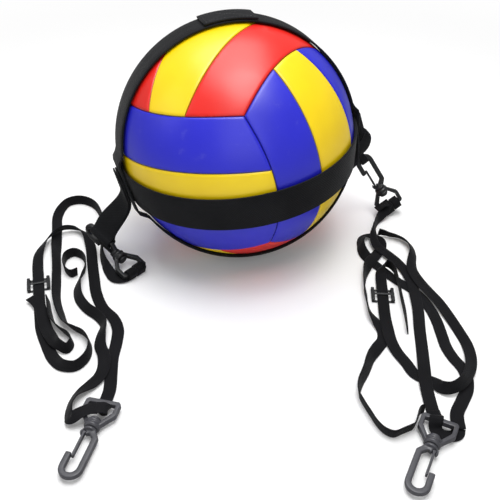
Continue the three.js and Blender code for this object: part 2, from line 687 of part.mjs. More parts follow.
function hookGeometry() {
  const disc = (radius) => new THREE.CylinderGeometry(radius, radius, hookThickness, discSides)
    .rotateX(Math.PI / 2);
  const boss = disc(socketRadius + socketWall).translate(gatePivot, gateLine, 0);
  const headEnd = collarStart - clearance;
  const body = join(
    slab(hookOutline(), hookThickness),
    boss,
    bar(flangeRadius, flangeStart, neckStart, 20),
    bar(stemRadius, headEnd - headLength, neckStart),
    bar(headRadius, headEnd - headLength, headEnd, 20),
  );
  const socket = disc(socketRadius).scale(1, 1, 2).translate(gatePivot, gateLine, 0);
  const swings = [0, gateOpenAngle / 2, gateOpenAngle, gateOpenAngle * 1.3];
  return toGeometry(cut(body, socket, ...swings.map(gateTool)));
}

function gateGeometry() {
  const knuckle = new THREE.CylinderGeometry(knuckleRadius, knuckleRadius, gateWidth, knuckleSides)
    .rotateX(Math.PI / 2);
  const reach = noseEnd + gateLap - gatePivot;
  const blade = new THREE.BoxGeometry(reach, gateThickness, gateWidth).translate(reach / 2, 0, 0);
  knuckle.translate(gatePivot, gateLine, 0);
  blade.translate(gatePivot, gateLine, 0);
  return toGeometry(join(knuckle, blade));
}

function aimed(place, axis, lateral) {
  const group = new THREE.Group();
  const x = axis.clone().normalize();
  const y = along(lateral, x, -lateral.dot(x)).normalize();
  group.quaternion.setFromRotationMatrix(new THREE.Matrix4().makeBasis(x, y, x.clone().cross(y)));
  group.position.copy(place);
  return group;
}

function buildSnapHook(name, place, axis, frameLateral, hookLateral) {
  const whole = new THREE.Group();
  const frame = aimed(place, axis, frameLateral);
  frame.add(piece(`${name}_frame`, frameGeometry(), finish(plastic, 0.4)));
  const hook = aimed(place, axis, hookLateral);
  hook.add(piece(`${name}_hook`, hookGeometry(), finish(plastic, 0.4)));
  hook.add(piece(`${name}_gate`, gateGeometry(), finish(plastic, 0.4)));
  whole.add(frame, hook);
  return whole;
}

// Slider: two end bars under the tape, one middle bar over it and a rail on each side

function buildSlider(name, place, angle) {
  const rail = sliderWidth / 2 - sliderSide;
  const box = (x, y, z) => new THREE.BoxGeometry(x, y, z);
  const railAt = (sign) => box(sliderLength, sliderSide, sliderThickness)
    .translate(0, sign * (rail + sliderSide / 2), sliderThickness / 2);
  const endAt = (sign) => box(sliderBar, sliderWidth - sliderSide, sliderBarThickness)
    .translate(sign * (sliderLength / 2 - sliderBar / 2), 0, sliderBarThickness / 2);
  const middle = box(sliderBar, sliderWidth - sliderSide, sliderBarThickness)
    .translate(0, 0, sliderThickness - sliderBarThickness / 2);
  const body = join(railAt(1), railAt(-1), endAt(1), endAt(-1), middle);
  const mesh = piece(name, toGeometry(body), finish(plastic, 0.4));
  mesh.rotation.z = radians(angle);
  mesh.position.copy(place);
  return mesh;
}

// Lead tape: one flat strip along its route

function tapeRings(route) {
  const half = tapeWidth / 2;
  const centres = route.map(([x, y, lift, tilt]) => {
    const turn = radians(tilt);
    return new THREE.Vector3(x, y, lift + half * Math.sin(turn) + (tapeThickness / 2) * Math.cos(turn));
  });
  const curve = new THREE.CatmullRomCurve3(centres);
  const spans = route.length - 1;
  const fine = 6 * spans;
  const tiltAt = (share) => {
    const i = Math.min(Math.floor(share * spans), spans - 1);
    return radians(mix(route[i][3], route[i + 1][3], share * spans - i));
  };
  const shares = [0];
  let passed = 0;
  for (let i = 1; i <= fine; i += 1) {
    const share = i / fine;
    const last = shares[shares.length - 1];
    passed += curve.getPoint(share).distanceTo(curve.getPoint((i - 1) / fine));
    const bend = curve.getTangent(share).angleTo(curve.getTangent(last));
    const twist = Math.abs(tiltAt(share) - tiltAt(last));
    const room = bend + twist > tapeBendStep / tapeTightRadius ? tapeBendStep : tapeStep;
    if (passed >= room || i === fine) {
      shares.push(share);
      passed = 0;
    }
  }
  return shares.map((share) => {
    const turn = tiltAt(share);
    const run = curve.getTangent(share).normalize();
    const level = run.clone().cross(up).normalize();
    const normal = level.clone().cross(run);
    const across = level.clone().multiplyScalar(Math.cos(turn)).addScaledVector(normal, Math.sin(turn));
    return tapeRing(curve.getPoint(share), across, across.clone().cross(run));
  });
}

function tapeRing(centre, across, out) {
  const wide = tapeWidth / 2;
  const thick = tapeThickness / 2;
  const chamfer = tapeThickness * tapeChamferShare;
  const section = [
    [-wide, thick - chamfer], [-wide + chamfer, thick], [wide - chamfer, thick], [wide, thick - chamfer],
    [wide, -thick + chamfer], [wide - chamfer, -thick], [-wide + chamfer, -thick], [-wide, -thick + chamfer],
  ];
  return section.map(([a, o]) => centre.clone().addScaledVector(across, a).addScaledVector(out, o));
}

function buildTape(name, route) {
  return piece(name, loft(tapeRings(route)), finish(black, 0.85));
}

// The whole trainer

function flatAxis(angle) {
  return new THREE.Vector3(Math.cos(radians(angle)), Math.sin(radians(angle)), 0);
}

function buildTrainer() {
  const trainer = new THREE.Group();
  trainer.name = 'volleyball_spike_trainer';
  trainer.add(buildBall());

  const harness = new THREE.Group();
  harness.position.copy(ballMiddle);
  const leftSpine = along(up, leftClipAxis, -up.dot(leftClipAxis)).normalize();
  const lean = rightClipLateral.dot(rightClipAxis);
  const rightAcross = along(rightClipLateral, rightClipAxis, -lean).normalize();
  const spineOffset = (neckStart + hookShoulder + bendMiddle) / 2;
  const bendOffset = bendMiddle + (hookWidth - hookBar - tabBarShift) / 2;
  const leftEye = {
    centre: along(along(leftClipPlace, leftClipAxis, spineOffset), leftSpine, spineMiddle).sub(ballMiddle),
    across: leftClipAxis.clone().negate().normalize(),
    radius: spineEyeRadius,
    width: tabWidth,
  };
  const rightEye = {
    centre: along(rightClipPlace, rightClipAxis, bendOffset).sub(ballMiddle),
    across: rightAcross,
    radius: bendEyeRadius,
    width: tabBunchedWidth,
  };
  harness.add(buildBelt(), buildHoop(), buildHoopLap());
  harness.add(buildTab('left_tab', leftJunction, 0, leftEye));
  harness.add(buildTab('right_tab', rightJunction, rightTabRise, rightEye));
  trainer.add(harness);

  const leftFlat = up.clone().cross(leftClipAxis).normalize();
  trainer.add(buildSnapHook('left_clip', leftClipPlace, leftClipAxis, leftFlat, leftSpine));
  trainer.add(buildSnapHook('right_clip', rightClipPlace, rightClipAxis, rightAcross, rightAcross));
  const leftAxis = flatAxis(leftHookAngle);
  const rightAxis = flatAxis(rightHookAngle);
  const leftLateral = up.clone().cross(leftAxis);
  const rightLateral = rightAxis.clone().cross(up);
  trainer.add(buildSnapHook('left_end', leftHookPlace, leftAxis, leftLateral, leftLateral));
  trainer.add(buildSnapHook('right_end', rightHookPlace, rightAxis, rightLateral, rightLateral));

  trainer.add(buildSlider('left_slider', leftSliderPlace, leftSliderAngle));
  trainer.add(buildSlider('right_slider', rightSliderPlace, rightSliderAngle));
  trainer.add(buildTape('left_lead_main', leftMainRoute));
  trainer.add(buildTape('left_lead_back', leftBackRoute));
  trainer.add(buildTape('left_lead_fold', leftFoldRoute));
  trainer.add(buildTape('right_lead_long', rightLongRoute));
  trainer.add(buildTape('right_lead_tail', rightTailRoute));
  trainer.add(buildTape('right_lead_back', rightBackRoute));
  return trainer;
}

export default buildTrainer();
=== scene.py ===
"""The look of a volleyball spike trainer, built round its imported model.

A ball of eighteen panels sits in two crossed webbing bands. A folded tab at each side holds a
clip, and from each clip a narrow tape runs over the floor in loops to a snap hook on a swivel.
Every length is in metres, in the model's own frame.
"""

import sys

import enum
import logging
import math
from collections.abc import Callable, Sequence
from dataclasses import dataclass, field
from typing import Any

import bmesh
import bpy
import numpy as np
from mathutils import Matrix, Vector


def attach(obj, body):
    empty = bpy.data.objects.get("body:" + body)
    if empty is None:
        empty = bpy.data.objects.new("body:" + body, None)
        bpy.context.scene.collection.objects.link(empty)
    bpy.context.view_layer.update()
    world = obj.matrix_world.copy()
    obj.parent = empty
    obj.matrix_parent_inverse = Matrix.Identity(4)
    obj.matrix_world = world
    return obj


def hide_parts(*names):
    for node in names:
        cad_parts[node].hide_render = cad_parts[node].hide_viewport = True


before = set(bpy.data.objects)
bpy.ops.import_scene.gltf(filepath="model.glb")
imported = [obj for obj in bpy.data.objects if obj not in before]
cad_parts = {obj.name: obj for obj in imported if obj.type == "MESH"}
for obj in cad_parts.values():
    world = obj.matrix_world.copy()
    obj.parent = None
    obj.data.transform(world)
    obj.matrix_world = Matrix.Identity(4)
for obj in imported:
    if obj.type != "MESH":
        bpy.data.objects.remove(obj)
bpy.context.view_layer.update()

MM = 0.001
MAIN_BODY = "trainer"
WEAVE_MAP = "weave"
SEAM_MARK = "seam"
OUT_MARK = "out"
UP = Vector((0.0, 0.0, 1.0))
Colour = tuple[float, float, float, float]
log = logging.getLogger("spike_trainer")


def level_way(degrees: float) -> Vector:
    """A level direction, by its bearing from the X axis."""
    return Vector((math.cos(math.radians(degrees)), math.sin(math.radians(degrees)), 0.0))


# Where each snap hook's frame starts, and the way from there to its bend.
LEFT_CLIP_PLACE = Vector((-92, -70, 4.6)) * MM
LEFT_CLIP_AXIS = Vector((-0.727, 0.606, 0.32)).normalized()
RIGHT_CLIP_PLACE = Vector((157, 33, 8)) * MM
RIGHT_CLIP_AXIS = Vector((-0.535, 0.049, 0.843)).normalized()
RIGHT_CLIP_LATERAL = Vector((0.8, 0.3, 0.5))
LEFT_END_PLACE = Vector((-95, -223, 5.4)) * MM
LEFT_END_AXIS = level_way(257.3)
RIGHT_END_PLACE = Vector((149, -240, 5.4)) * MM
RIGHT_END_AXIS = level_way(243.3)

# How far along its axis a hook's spine starts and its bend's middle lies, how far its spine is
# from that axis, and how far the bend reaches past its middle.
HOOK_SHOULDER = 33.2 * MM
HOOK_BEND = 59.25 * MM
HOOK_SPINE_OFFSET = 6.55 * MM
HOOK_BEND_RADIUS = 5.55 * MM


# Objects


def linked(name: str, data: Any) -> bpy.types.Object:
    """Put an object in the scene.

    Args:
        name: Its name.
        data: Its mesh, lamp or lens.

    Returns:
        The object.
    """
    made = bpy.data.objects.new(name, data)
    bpy.context.scene.collection.objects.link(made)
    return made


def settled(host: bpy.types.Object) -> bpy.types.Mesh:
    """Take an object's mesh as its modifiers leave it, and clear them.

    Args:
        host: The object with the modifiers.

    Returns:
        A plain mesh.
    """
    bpy.context.view_layer.update()
    graph = bpy.context.evaluated_depsgraph_get()
    mesh = bpy.data.meshes.new_from_object(host.evaluated_get(graph))
    host.modifiers.clear()
    return mesh


# Node trees


class Value:
    """A socket of a node tree that takes part in sums as a number does."""

    def __init__(self, tree: "Tree", socket: bpy.types.NodeSocket) -> None:
        """Keep the socket and the tree it is in."""
        self.tree = tree
        self.socket = socket

    def math(self, operation: str, *others: "Value | float", swap: bool = False) -> "Value":
        """Add a Math node on this value.

        Args:
            operation: The Math node's operation.
            others: What goes into its other sockets.
            swap: True where this value is the second operand.

        Returns:
            The node's result.
        """
        parts: list[Any] = [self, *others]
        if swap:
            parts.reverse()
        made = self.tree.node("ShaderNodeMath", {"operation": operation}, dict(enumerate(parts)))
        return Value(self.tree, made.outputs[0])

    def __add__(self, other: "Value | float") -> "Value":
        """Sum with a value or a number."""
        return self.math("ADD", other)

    __radd__ = __add__

    def __sub__(self, other: "Value | float") -> "Value":
        """Less another value."""
        return self.math("SUBTRACT", other)

    def __rsub__(self, other: float) -> "Value":
        """A number less this value."""
        return self.math("SUBTRACT", other, swap=True)

    def __mul__(self, other: "Value | float") -> "Value":
        """Product with a value or a number."""
        return self.math("MULTIPLY", other)

    __rmul__ = __mul__

    def __truediv__(self, other: "Value | float") -> "Value":
        """Divided by another value."""
        return self.math("DIVIDE", other)

    def __rtruediv__(self, other: float) -> "Value":
        """A number divided by this value."""
        return self.math("DIVIDE", other, swap=True)

    def __pow__(self, other: float) -> "Value":
        """Raised to a power."""
        return self.math("POWER", other)

    def __rpow__(self, other: float) -> "Value":
        """A number raised to this value."""
        return self.math("POWER", other, swap=True)

    def clamp(self) -> "Value":
        """Held between 0 and 1."""
        return self.math("MAXIMUM", 0.0).math("MINIMUM", 1.0)

    def ramp(self, low: float, high: float) -> "Value":
        """A smooth step.

        Args:
            low: Where the step starts, at 0.
            high: Where it ends, at 1.

        Returns:
            The step, between 0 and 1.
        """
        t = ((self - low) / (high - low)).clamp()
        return t * t * (3.0 - 2.0 * t)


class Tree:
    """A node tree that is written one call at a time."""

    def __init__(self, tree: bpy.types.NodeTree) -> None:
        """Keep the tree that nodes are added to."""
        self.tree = tree

    def node(
        self,
        kind: str,
        settings: dict[str, Any] | None = None,
        inputs: dict[str | int, Any] | None = None,
    ) -> bpy.types.Node:
        """Add one node.

        Args:
            kind: The node's type.
            settings: Its settings, set before its sockets.
            inputs: Its sockets by name or number, each a value, a socket or a Value.

        Returns:
            The new node.
        """
        made = self.tree.nodes.new(kind)
        for name, value in (settings or {}).items():
            setattr(made, name, value)
        for name, value in (inputs or {}).items():
            self.join(value, made.inputs[name])
        return made

    def join(self, value: Any, socket: bpy.types.NodeSocket) -> None:
        """Link a value into a socket, or set it there.

        Args:
            value: A number, a colour, a socket, a node or a Value.
            socket: The socket that takes it.
        """
        if isinstance(value, Value):
            value = value.socket
        if isinstance(value, bpy.types.Node):
            value = value.outputs[0]
        if isinstance(value, bpy.types.NodeSocket):
            self.tree.links.new(value, socket)
        else:
            socket.default_value = value

    def value(self, node: bpy.types.Node, output: str | int = 0) -> Value:
        """One of a node's outputs as a Value."""
        return Value(self, node.outputs[output])


class Paint(Tree):
    """A material's shader tree."""

    def __init__(self, name: str) -> None:
        """Start an empty material.

        Args:
            name: Its name.
        """
        self.material = bpy.data.materials.new(name)
        self.material.use_nodes = True
        super().__init__(self.material.node_tree)
        self.tree.nodes.clear()

    def place(self) -> bpy.types.NodeSocket:
        """Where a point is on its piece."""
        return self.node("ShaderNodeTexCoord").outputs["Object"]

    def noise(self, scale: float, detail: float = 2.0, roughness: float = 0.5) -> Value:
        """Noise on the piece, about 0.5 on average.

        Args:
            scale: Its features per metre.
            detail: Its octaves.
            roughness: How strong the finer octaves are.

        Returns:
            The noise.
        """
        values = {"Vector": self.place(), "Scale": scale, "Detail": detail, "Roughness": roughness}
        return self.value(self.node("ShaderNodeTexNoise", {}, values))

    def cells(self, scale: float) -> Value:
        """Rounded distance to the nearest of scattered points, by cells per metre."""
        values = {"Vector": self.place(), "Scale": scale}
        return self.value(self.node("ShaderNodeTexVoronoi", {"feature": "SMOOTH_F1"}, values))

    def weave_place(self) -> tuple[Value, Value]:
        """Where on a woven strip a point is.

        Returns:
            How far along and how far across it, in metres.
        """
        read = self.node("ShaderNodeUVMap", {"uv_map": WEAVE_MAP})
        split = self.node("ShaderNodeSeparateXYZ", {}, {0: read})
        return self.value(split, 0), self.value(split, 1)

    def mark(self, name: str) -> Value:
        """A number kept on the mesh under that name."""
        return self.value(self.node("ShaderNodeAttribute", {"attribute_name": name}), "Fac")

    def blend(self, share: Value | float, first: Any, second: Any) -> bpy.types.NodeSocket:
        """Mix two colours.

        Args:
            share: How much of the second.
            first: The first colour or socket.
            second: The second colour or socket.

        Returns:
            The mixed colour.
        """
        mixed = self.node("ShaderNodeMix", {"data_type": "RGBA"})
        self.join(share, mixed.inputs[0])
        self.join(first, mixed.inputs[6])
        self.join(second, mixed.inputs[7])
        return mixed.outputs[2]

    def bump(self, height: Value, depth: float, strength: float) -> bpy.types.NodeSocket:
        """Turn a height into a normal.

        Args:
            height: The height, from 0 to 1.
            depth: How far apart 0 and 1 are.
            strength: The share of it that shows.

        Returns:
            The normal.
        """
        values = {"Height": height, "Distance": depth, "Strength": strength}
        return self.node("ShaderNodeBump", {}, values).outputs[0]

    def surface(self, inputs: dict[str, Any]) -> bpy.types.Material:
        """Finish the material with one Principled shader.

        Args:
            inputs: The shader's sockets by name.

        Returns:
            The material.
        """
        shader = self.node("ShaderNodeBsdfPrincipled", {}, inputs)
        self.node("ShaderNodeOutputMaterial", {}, {"Surface": shader})
        return self.material


def shade(red: int, green: int, blue: int) -> Colour:
    """A colour as a shader takes it.

    Args:
        red: Its red as it is seen, from 0 to 255.
        green: Its green.
        blue: Its blue.

    Returns:
        The colour in linear light, opaque.
    """
    levels = [level / 255 for level in (red, green, blue)]
    linear = [s / 12.92 if s <= 0.04045 else ((s + 0.055) / 1.055) ** 2.4 for s in levels]
    return (linear[0], linear[1], linear[2], 1.0)


def scaled(colour: Colour, factor: float) -> Colour:
    """A colour made lighter or darker by a factor, opaque."""
    return (*(min(1.0, channel * factor) for channel in colour[:3]), 1.0)


# Finishes


# Shaded and lit copies of the webbing's black, for a painted highlight on its raised yarns.
CLOTH_DARK = shade(8, 8, 10)
CLOTH_LIT = shade(33, 34, 37)


@dataclass(frozen=True)
class PanelLeather:
    """Smooth synthetic leather with a fine pebble, painted shade in its seam grooves and dust near them."""

    name: str
    colour: Colour
    pebble_pitch: float = 0.9 * MM
    pebble_depth: float = 0.12 * MM
    groove: tuple[float, float] = (0.05 * MM, 0.5 * MM)
    rim: tuple[float, float] = (3.0 * MM, 0.8 * MM)
    grime_reach: float = 2.5 * MM
    roughness: float = 0.4
    coat: float = 0.55

    def build(self) -> bpy.types.Material:
        """Make the material.

        Returns:
            The material.
        """
        paint = Paint(self.name)
        pebble = paint.cells(1 / self.pebble_pitch)
        fine = paint.noise(4200, 2)
        cloud = paint.noise(14, 3)
        streak = paint.noise(90, 4, 0.65)
        seam = paint.mark(SEAM_MARK)
        # Painted shade: the seam grooves are painted dark where shade falls, and streaks of dust lie near
        # the seams.
        groove = 1.0 - seam.ramp(*self.groove)
        rim = seam.ramp(*self.rim)
        seam_shade_and_dust = (groove * 0.8 + seam.ramp(self.grime_reach, 0.0) * streak * 0.2).clamp()
        even = paint.blend(cloud.ramp(0.35, 0.7), scaled(self.colour, 0.93), scaled(self.colour, 1.05))
        worn = paint.blend(streak.ramp(0.6, 0.85) * 0.05, even, shade(250, 250, 245))
        # The painted shade in the grooves and the dust near the seams darken the panel's colour.
        colour = paint.blend(seam_shade_and_dust, worn, scaled(self.colour, 0.3))
        height = pebble * 0.75 + fine * 0.25
        return paint.surface({
            "Base Color": colour,
            "Roughness": (self.roughness + (streak - 0.5) * 0.22 - rim * 0.1).clamp(),
            "Normal": paint.bump(height, self.pebble_depth, 0.5),
            "Specular IOR Level": 0.42,
            "Coat Weight": self.coat,
            "Coat Roughness": 0.3,
        })


@dataclass(frozen=True)
class Webbing:
    """Woven strip: raised warp ribs along it, crossed by the weft, with a firm selvedge."""

    name: str
    # The shaded and the lit copy of the cloth's colour, for the painted highlight on the raised yarns.
    colour: Colour
    lit: Colour
    rib_pitch: float
    weft_pitch: float
    half_width: float
    selvedge: float = 1.2 * MM
    yarn_depth: float = 0.28 * MM
    roughness: float = 0.78

    def build(self) -> bpy.types.Material:
        """Make the material.

        Returns:
            The material.
        """
        paint = Paint(self.name)
        along, across = paint.weave_place()
        rib = (across * (math.pi / self.rib_pitch)).math("SINE").math("ABSOLUTE")
        row = (across / self.rib_pitch).math("FLOOR")
        weft = ((along / self.weft_pitch + row * 0.5) * (2 * math.pi)).math("SINE") * 0.5 + 0.5
        yarn = rib ** 0.6 * (0.45 + weft * 0.55)
        fuzz = paint.noise(2600, 3, 0.7)
        cloud = paint.noise(35, 2)
        edge = across.math("ABSOLUTE").ramp(self.half_width - self.selvedge, self.half_width)
        height = (yarn * 0.8 + fuzz * 0.2 + edge * 0.2).clamp()
        # Painted highlight: the raised yarns and selvedges are painted towards the lit colour and the
        # hollows towards the shaded one; the cloud adds random tone.
        tone = (height * 0.75 + cloud.ramp(0.3, 0.75) * 0.25).clamp()
        return paint.surface({
            "Base Color": paint.blend(tone, self.colour, self.lit),
            "Roughness": (self.roughness - yarn * 0.16 + (fuzz - 0.5) * 0.15).clamp(),
            "Normal": paint.bump(height, self.yarn_depth, 0.7),
            "Specular IOR Level": 0.1,
            "Sheen Weight": 0.08,
            "Sheen Roughness": 0.4,
        })


@dataclass(frozen=True)
class MouldedPlastic:
    """Half-matt moulded plastic with a spark-eroded grain and scuffs in random spots."""

    name: str
    colour: Colour
    roughness: float = 0.38
    grain_depth: float = 0.06 * MM

    def build(self) -> bpy.types.Material:
        """Make the material.

        Returns:
            The material.
        """
        paint = Paint(self.name)
        grain = paint.noise(3600, 3, 0.6)
        flow = paint.noise(70, 3)
        scuff = paint.noise(420, 5, 0.7).ramp(0.6, 0.78)
        colour = paint.blend(flow.ramp(0.3, 0.7), scaled(self.colour, 0.86), scaled(self.colour, 1.12))
        return paint.surface({
            "Base Color": paint.blend(scuff * 0.18, colour, scaled(self.colour, 2.6)),
            "Roughness": (self.roughness + (grain - 0.5) * 0.2 + scuff * 0.18).clamp(),
            "Normal": paint.bump(grain, self.grain_depth, 0.5),
        })


@dataclass(frozen=True)
class SewingThread:
    """Twisted bonded thread with a slight shine."""

    name: str
    colour: Colour
    twist_depth: float = 0.1 * MM

    def build(self) -> bpy.types.Material:
        """Make the material.

        Returns:
            The material.
        """
        paint = Paint(self.name)
        twist = paint.noise(5200, 2)
        return paint.surface({
            "Base Color": paint.blend(twist, scaled(self.colour, 0.7), scaled(self.colour, 1.4)),
            "Roughness": (0.5 + (twist - 0.5) * 0.3).clamp(),
            "Normal": paint.bump(twist, self.twist_depth, 0.6),
        })


@dataclass(frozen=True)
class Rubber:
    """Soft black rubber with a dusty bloom."""

    name: str
    colour: Colour
    grain_depth: float = 0.05 * MM

    def build(self) -> bpy.types.Material:
        """Make the material.

        Returns:
            The material.
        """
        paint = Paint(self.name)
        bloom = paint.noise(160, 4, 0.65)
        return paint.surface({
            "Base Color": paint.blend(bloom * 0.5, self.colour, scaled(self.colour, 2.4)),
            "Roughness": (0.55 + (bloom - 0.5) * 0.3).clamp(),
            "Normal": paint.bump(paint.noise(2400, 2), self.grain_depth, 0.5),
        })


@dataclass(frozen=True)
class CarcassCloth:
    """The woven cloth wound on the bladder, stained by its glue."""

    name: str
    colour: Colour
    threads: float = 4200.0
    thread_depth: float = 0.15 * MM

    def build(self) -> bpy.types.Material:
        """Make the material.

        Returns:
            The material.
        """
        paint = Paint(self.name)
        split = paint.node("ShaderNodeSeparateXYZ", {}, {0: paint.place()})
        threads = [(paint.value(split, i) * self.threads).math("SINE") * 0.5 + 0.5 for i in range(3)]
        cloth = (threads[0] + threads[1] + threads[2]) / 3.0
        stain = paint.noise(60, 3)
        tone = (cloth * 0.5 + stain * 0.5).clamp()
        return paint.surface({
            "Base Color": paint.blend(tone, scaled(self.colour, 0.3), self.colour),
            "Roughness": (0.85 + (stain - 0.5) * 0.2).clamp(),
            "Normal": paint.bump(cloth, self.thread_depth, 0.6),
        })


class Finish(enum.Enum):
    """The finishes of the trainer's pieces, each with its record slot and its recipe."""

    RED = ("panel_red", PanelLeather("red panel leather", shade(232, 32, 22)))
    BLUE = ("panel_blue", PanelLeather("blue panel leather", shade(36, 38, 203)))
    YELLOW = ("panel_yellow", PanelLeather("yellow panel leather", shade(255, 216, 0)))
    BAND = ("webbing", Webbing("harness webbing", CLOTH_DARK, CLOTH_LIT, 1.25 * MM, 2.2 * MM, 16 * MM))
    TAB = ("webbing", Webbing("tab webbing", CLOTH_DARK, CLOTH_LIT, 1.1 * MM, 2.0 * MM, 12 * MM))
    TAPE = ("tape", Webbing("lead tape", shade(7, 7, 9), shade(30, 30, 33), 0.75 * MM, 1.4 * MM, 5 * MM))
    HOOK = ("hook_plastic", MouldedPlastic("grey hook plastic", shade(72, 72, 77), 0.33))
    CLIP = ("hook_plastic", MouldedPlastic("black clip plastic", shade(34, 35, 37)))
    THREAD = ("webbing", SewingThread("harness thread", shade(40, 41, 43)))
    VALVE = ("valve_rubber", Rubber("valve rubber", shade(20, 20, 22)))
    BLADDER = ("bladder_rubber", Rubber("bladder rubber", shade(26, 26, 28)))
    LINING = ("lining", CarcassCloth("carcass cloth", shade(196, 188, 168)))

    @property
    def slot(self) -> str:
        """The record's slot that the finish belongs to."""
        return self.value[0]

    @property
    def material(self) -> bpy.types.Material:
        """The material, made when it is first asked for."""
        recipe = self.value[1]
        return bpy.data.materials.get(recipe.name) or recipe.build()


# Meshes


@dataclass
class Shape:
    """A mesh in the making: points, faces and, for cloth, a weave place at each face corner."""

    points: list[Vector] = field(default_factory=list)
    faces: list[tuple[int, ...]] = field(default_factory=list)
    weave: list[tuple[float, float]] = field(default_factory=list)
    marks: dict[str, Sequence[float]] = field(default_factory=dict)

    def volume(self) -> float:
        """Measure the shape.

        Returns:
            The volume that its faces enclose, negative where they face inwards.
        """
        total = 0.0
        for face in self.faces:
            first = self.points[face[0]]
            for second, third in zip(face[1:-1], face[2:], strict=True):
                total += first.dot(self.points[second].cross(self.points[third])) / 6
        return total

    def turn_outwards(self) -> None:
        """Reverse every face if they face inwards."""
        if self.volume() >= 0:
            return
        start = 0
        turned: list[tuple[float, float]] = []
        for face in self.faces:
            turned += reversed(self.weave[start : start + len(face)])
            start += len(face)
        self.weave = turned
        self.faces = [tuple(reversed(face)) for face in self.faces]

    def make(self, name: str, finish: Finish) -> bpy.types.Object:
        """Turn the shape into an object.

        Args:
            name: The object's name.
            finish: Its finish.

        Returns:
            The object, in the scene, with its place in its mesh.
        """
        self.turn_outwards()
        mesh = bpy.data.meshes.new(name)
        mesh.from_pydata([tuple(point) for point in self.points], [], self.faces)
        if self.weave:
            layer = mesh.uv_layers.new(name=WEAVE_MAP)
            layer.data.foreach_set("uv", [number for pair in self.weave for number in pair])
        for mark, numbers in self.marks.items():
            mesh.attributes.new(mark, "FLOAT", "POINT").data.foreach_set("value", numbers)
        mesh.polygons.foreach_set("use_smooth", [True] * len(mesh.polygons))
        mesh.update()
        mesh.materials.append(finish.material)
        return linked(name, mesh)


def loft(rings: Sequence[Sequence[Vector]], closed: bool = False) -> Shape:
    """Skin rings of points, with the ends closed by strips between a ring's two halves.

    Args:
        rings: The rings, each with the same even number of points.
        closed: True where the last ring joins the first.

    Returns:
        The skin.
    """
    size = len(rings[0])
    shape = Shape(points=[point for ring in rings for point in ring])
    spans = len(rings) if closed else len(rings) - 1
    for i in range(spans):
        here, after = i * size, (i + 1) % len(rings) * size
        for j in range(size):
            k = (j + 1) % size
            shape.faces.append((here + j, here + k, after + k, after + j))
    if not closed:
        last = (len(rings) - 1) * size
        for j in range(size // 2 - 1):
            shape.faces.append((j, size - 1 - j, size - 2 - j, j + 1))
            shape.faces.append((last + j, last + j + 1, last + size - 2 - j, last + size - 1 - j))
    return shape


@dataclass(frozen=True)
class Station:
    """One place along a woven strip: its middle, the way across it and the way out of it."""

    centre: Vector
    across: Vector
    out: Vector
    width: float


def woven(stations: Sequence[Station], thickness: float, closed: bool = False) -> Shape:
    """Make a woven strip with rounded edges through its stations.

    Args:
        stations: The places that it passes.
        thickness: How thick it is.
        closed: True where it joins its own start.

    Returns:
        The strip, with its weave places.
    """
    half = thickness / 2
    turns = [math.radians(angle) for angle in (90, 45, 0, -45, -90)]
    rings, sides = [], []
    for station in stations:
        flat = station.width / 2 - half
        right = [(flat + half * math.cos(a), half * math.sin(a)) for a in turns]
        inner = [(flat / 3, -half), (-flat / 3, -half)]
        left = [(-x, y) for x, y in reversed(right)]
        section = [*right, *inner, *left, (-flat / 3, half), (flat / 3, half)]
        rings.append([station.centre + station.across * x + station.out * y for x, y in section])
        sides.append([x for x, _ in section])
    shape = loft(rings, closed)
    size = len(rings[0])
    steps = [0.0]
    for before, after in zip(stations, [*stations[1:], stations[0]], strict=True):
        steps.append(steps[-1] + (after.centre - before.centre).length)
    for face in shape.faces:
        held = [divmod(corner, size) for corner in face]
        wraps = closed and {0, len(rings) - 1} <= {ring for ring, _ in held}
        for ring, j in held:
            shape.weave.append((steps[len(rings) if wraps and ring == 0 else ring], sides[ring][j]))
    return shape


def smooth_line(held: Sequence[Vector], steps: int) -> list[tuple[Vector, float]]:
    """A smooth line through places, evenly bent however far apart they are.

    Args:
        held: The places.
        steps: How many steps each span gets.

    Returns:
        Points on the line, each with its place in the list as a number of spans.
    """
    line = []
    for i in range(len(held) - 1):
        p1, p2 = held[i], held[i + 1]
        p0 = held[i - 1] if i else p1 * 2 - p2
        p3 = held[i + 2] if i + 2 < len(held) else p2 * 2 - p1
        d0, d1, d2 = (math.sqrt((b - a).length) for a, b in ((p0, p1), (p1, p2), (p2, p3)))
        m1 = ((p1 - p0) / d0 - (p2 - p0) / (d0 + d1) + (p2 - p1) / d1) * d1
        m2 = ((p2 - p1) / d1 - (p3 - p1) / (d1 + d2) + (p3 - p2) / d2) * d1
        bend = (p2 - p1) * 3 - m1 * 2 - m2
        for k in range(steps + (i == len(held) - 2)):
            s = k / steps
            line.append((p1 + m1 * s + bend * s**2 + ((p1 - p2) * 2 + m1 + m2) * s**3, i + s))
    return line


def eased(share: float, start: float, end: float) -> float:
    """A smooth step from 0 at the start to 1 at the end."""
    t = min(1.0, max(0.0, (share - start) / (end - start)))
    return t * t * (3 - 2 * t)


def between(values: Sequence[float], spot: float) -> float:
    """A value of a list, at a place between two of its items."""
    i = min(int(spot), len(values) - 2)
    return values[i] * (1 - spot + i) + values[i + 1] * (spot - i)


def heading(points: Sequence[Vector], i: int) -> Vector:
    """The way along a line at one of its points."""
    return (points[min(i + 1, len(points) - 1)] - points[max(i - 1, 0)]).normalized()


def tilted(run: Vector, tilt: float) -> Vector:
    """The way across a strip, by its run and how far it leans up from level, in radians."""
    level = run.cross(UP).normalized()
    return level * math.cos(tilt) + level.cross(run) * math.sin(tilt)


def dressed(piece: bpy.types.Object, finish: Finish, body: str, *nodes: str) -> bpy.types.Object:
    """Put a finished piece on its body in place of its solids.

    Args:
        piece: The object.
        finish: Its finish, not used.
        body: The body that it rides on.
        nodes: The solids that it stands for.

    Returns:
        The piece.
    """
    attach(piece, body)
    if nodes:
        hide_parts(*nodes)
    purpose = ", ".join(nodes) or "the look alone"
    log.info("%s: %d faces, for %s", piece.name, len(piece.data.polygons), purpose)
    return piece


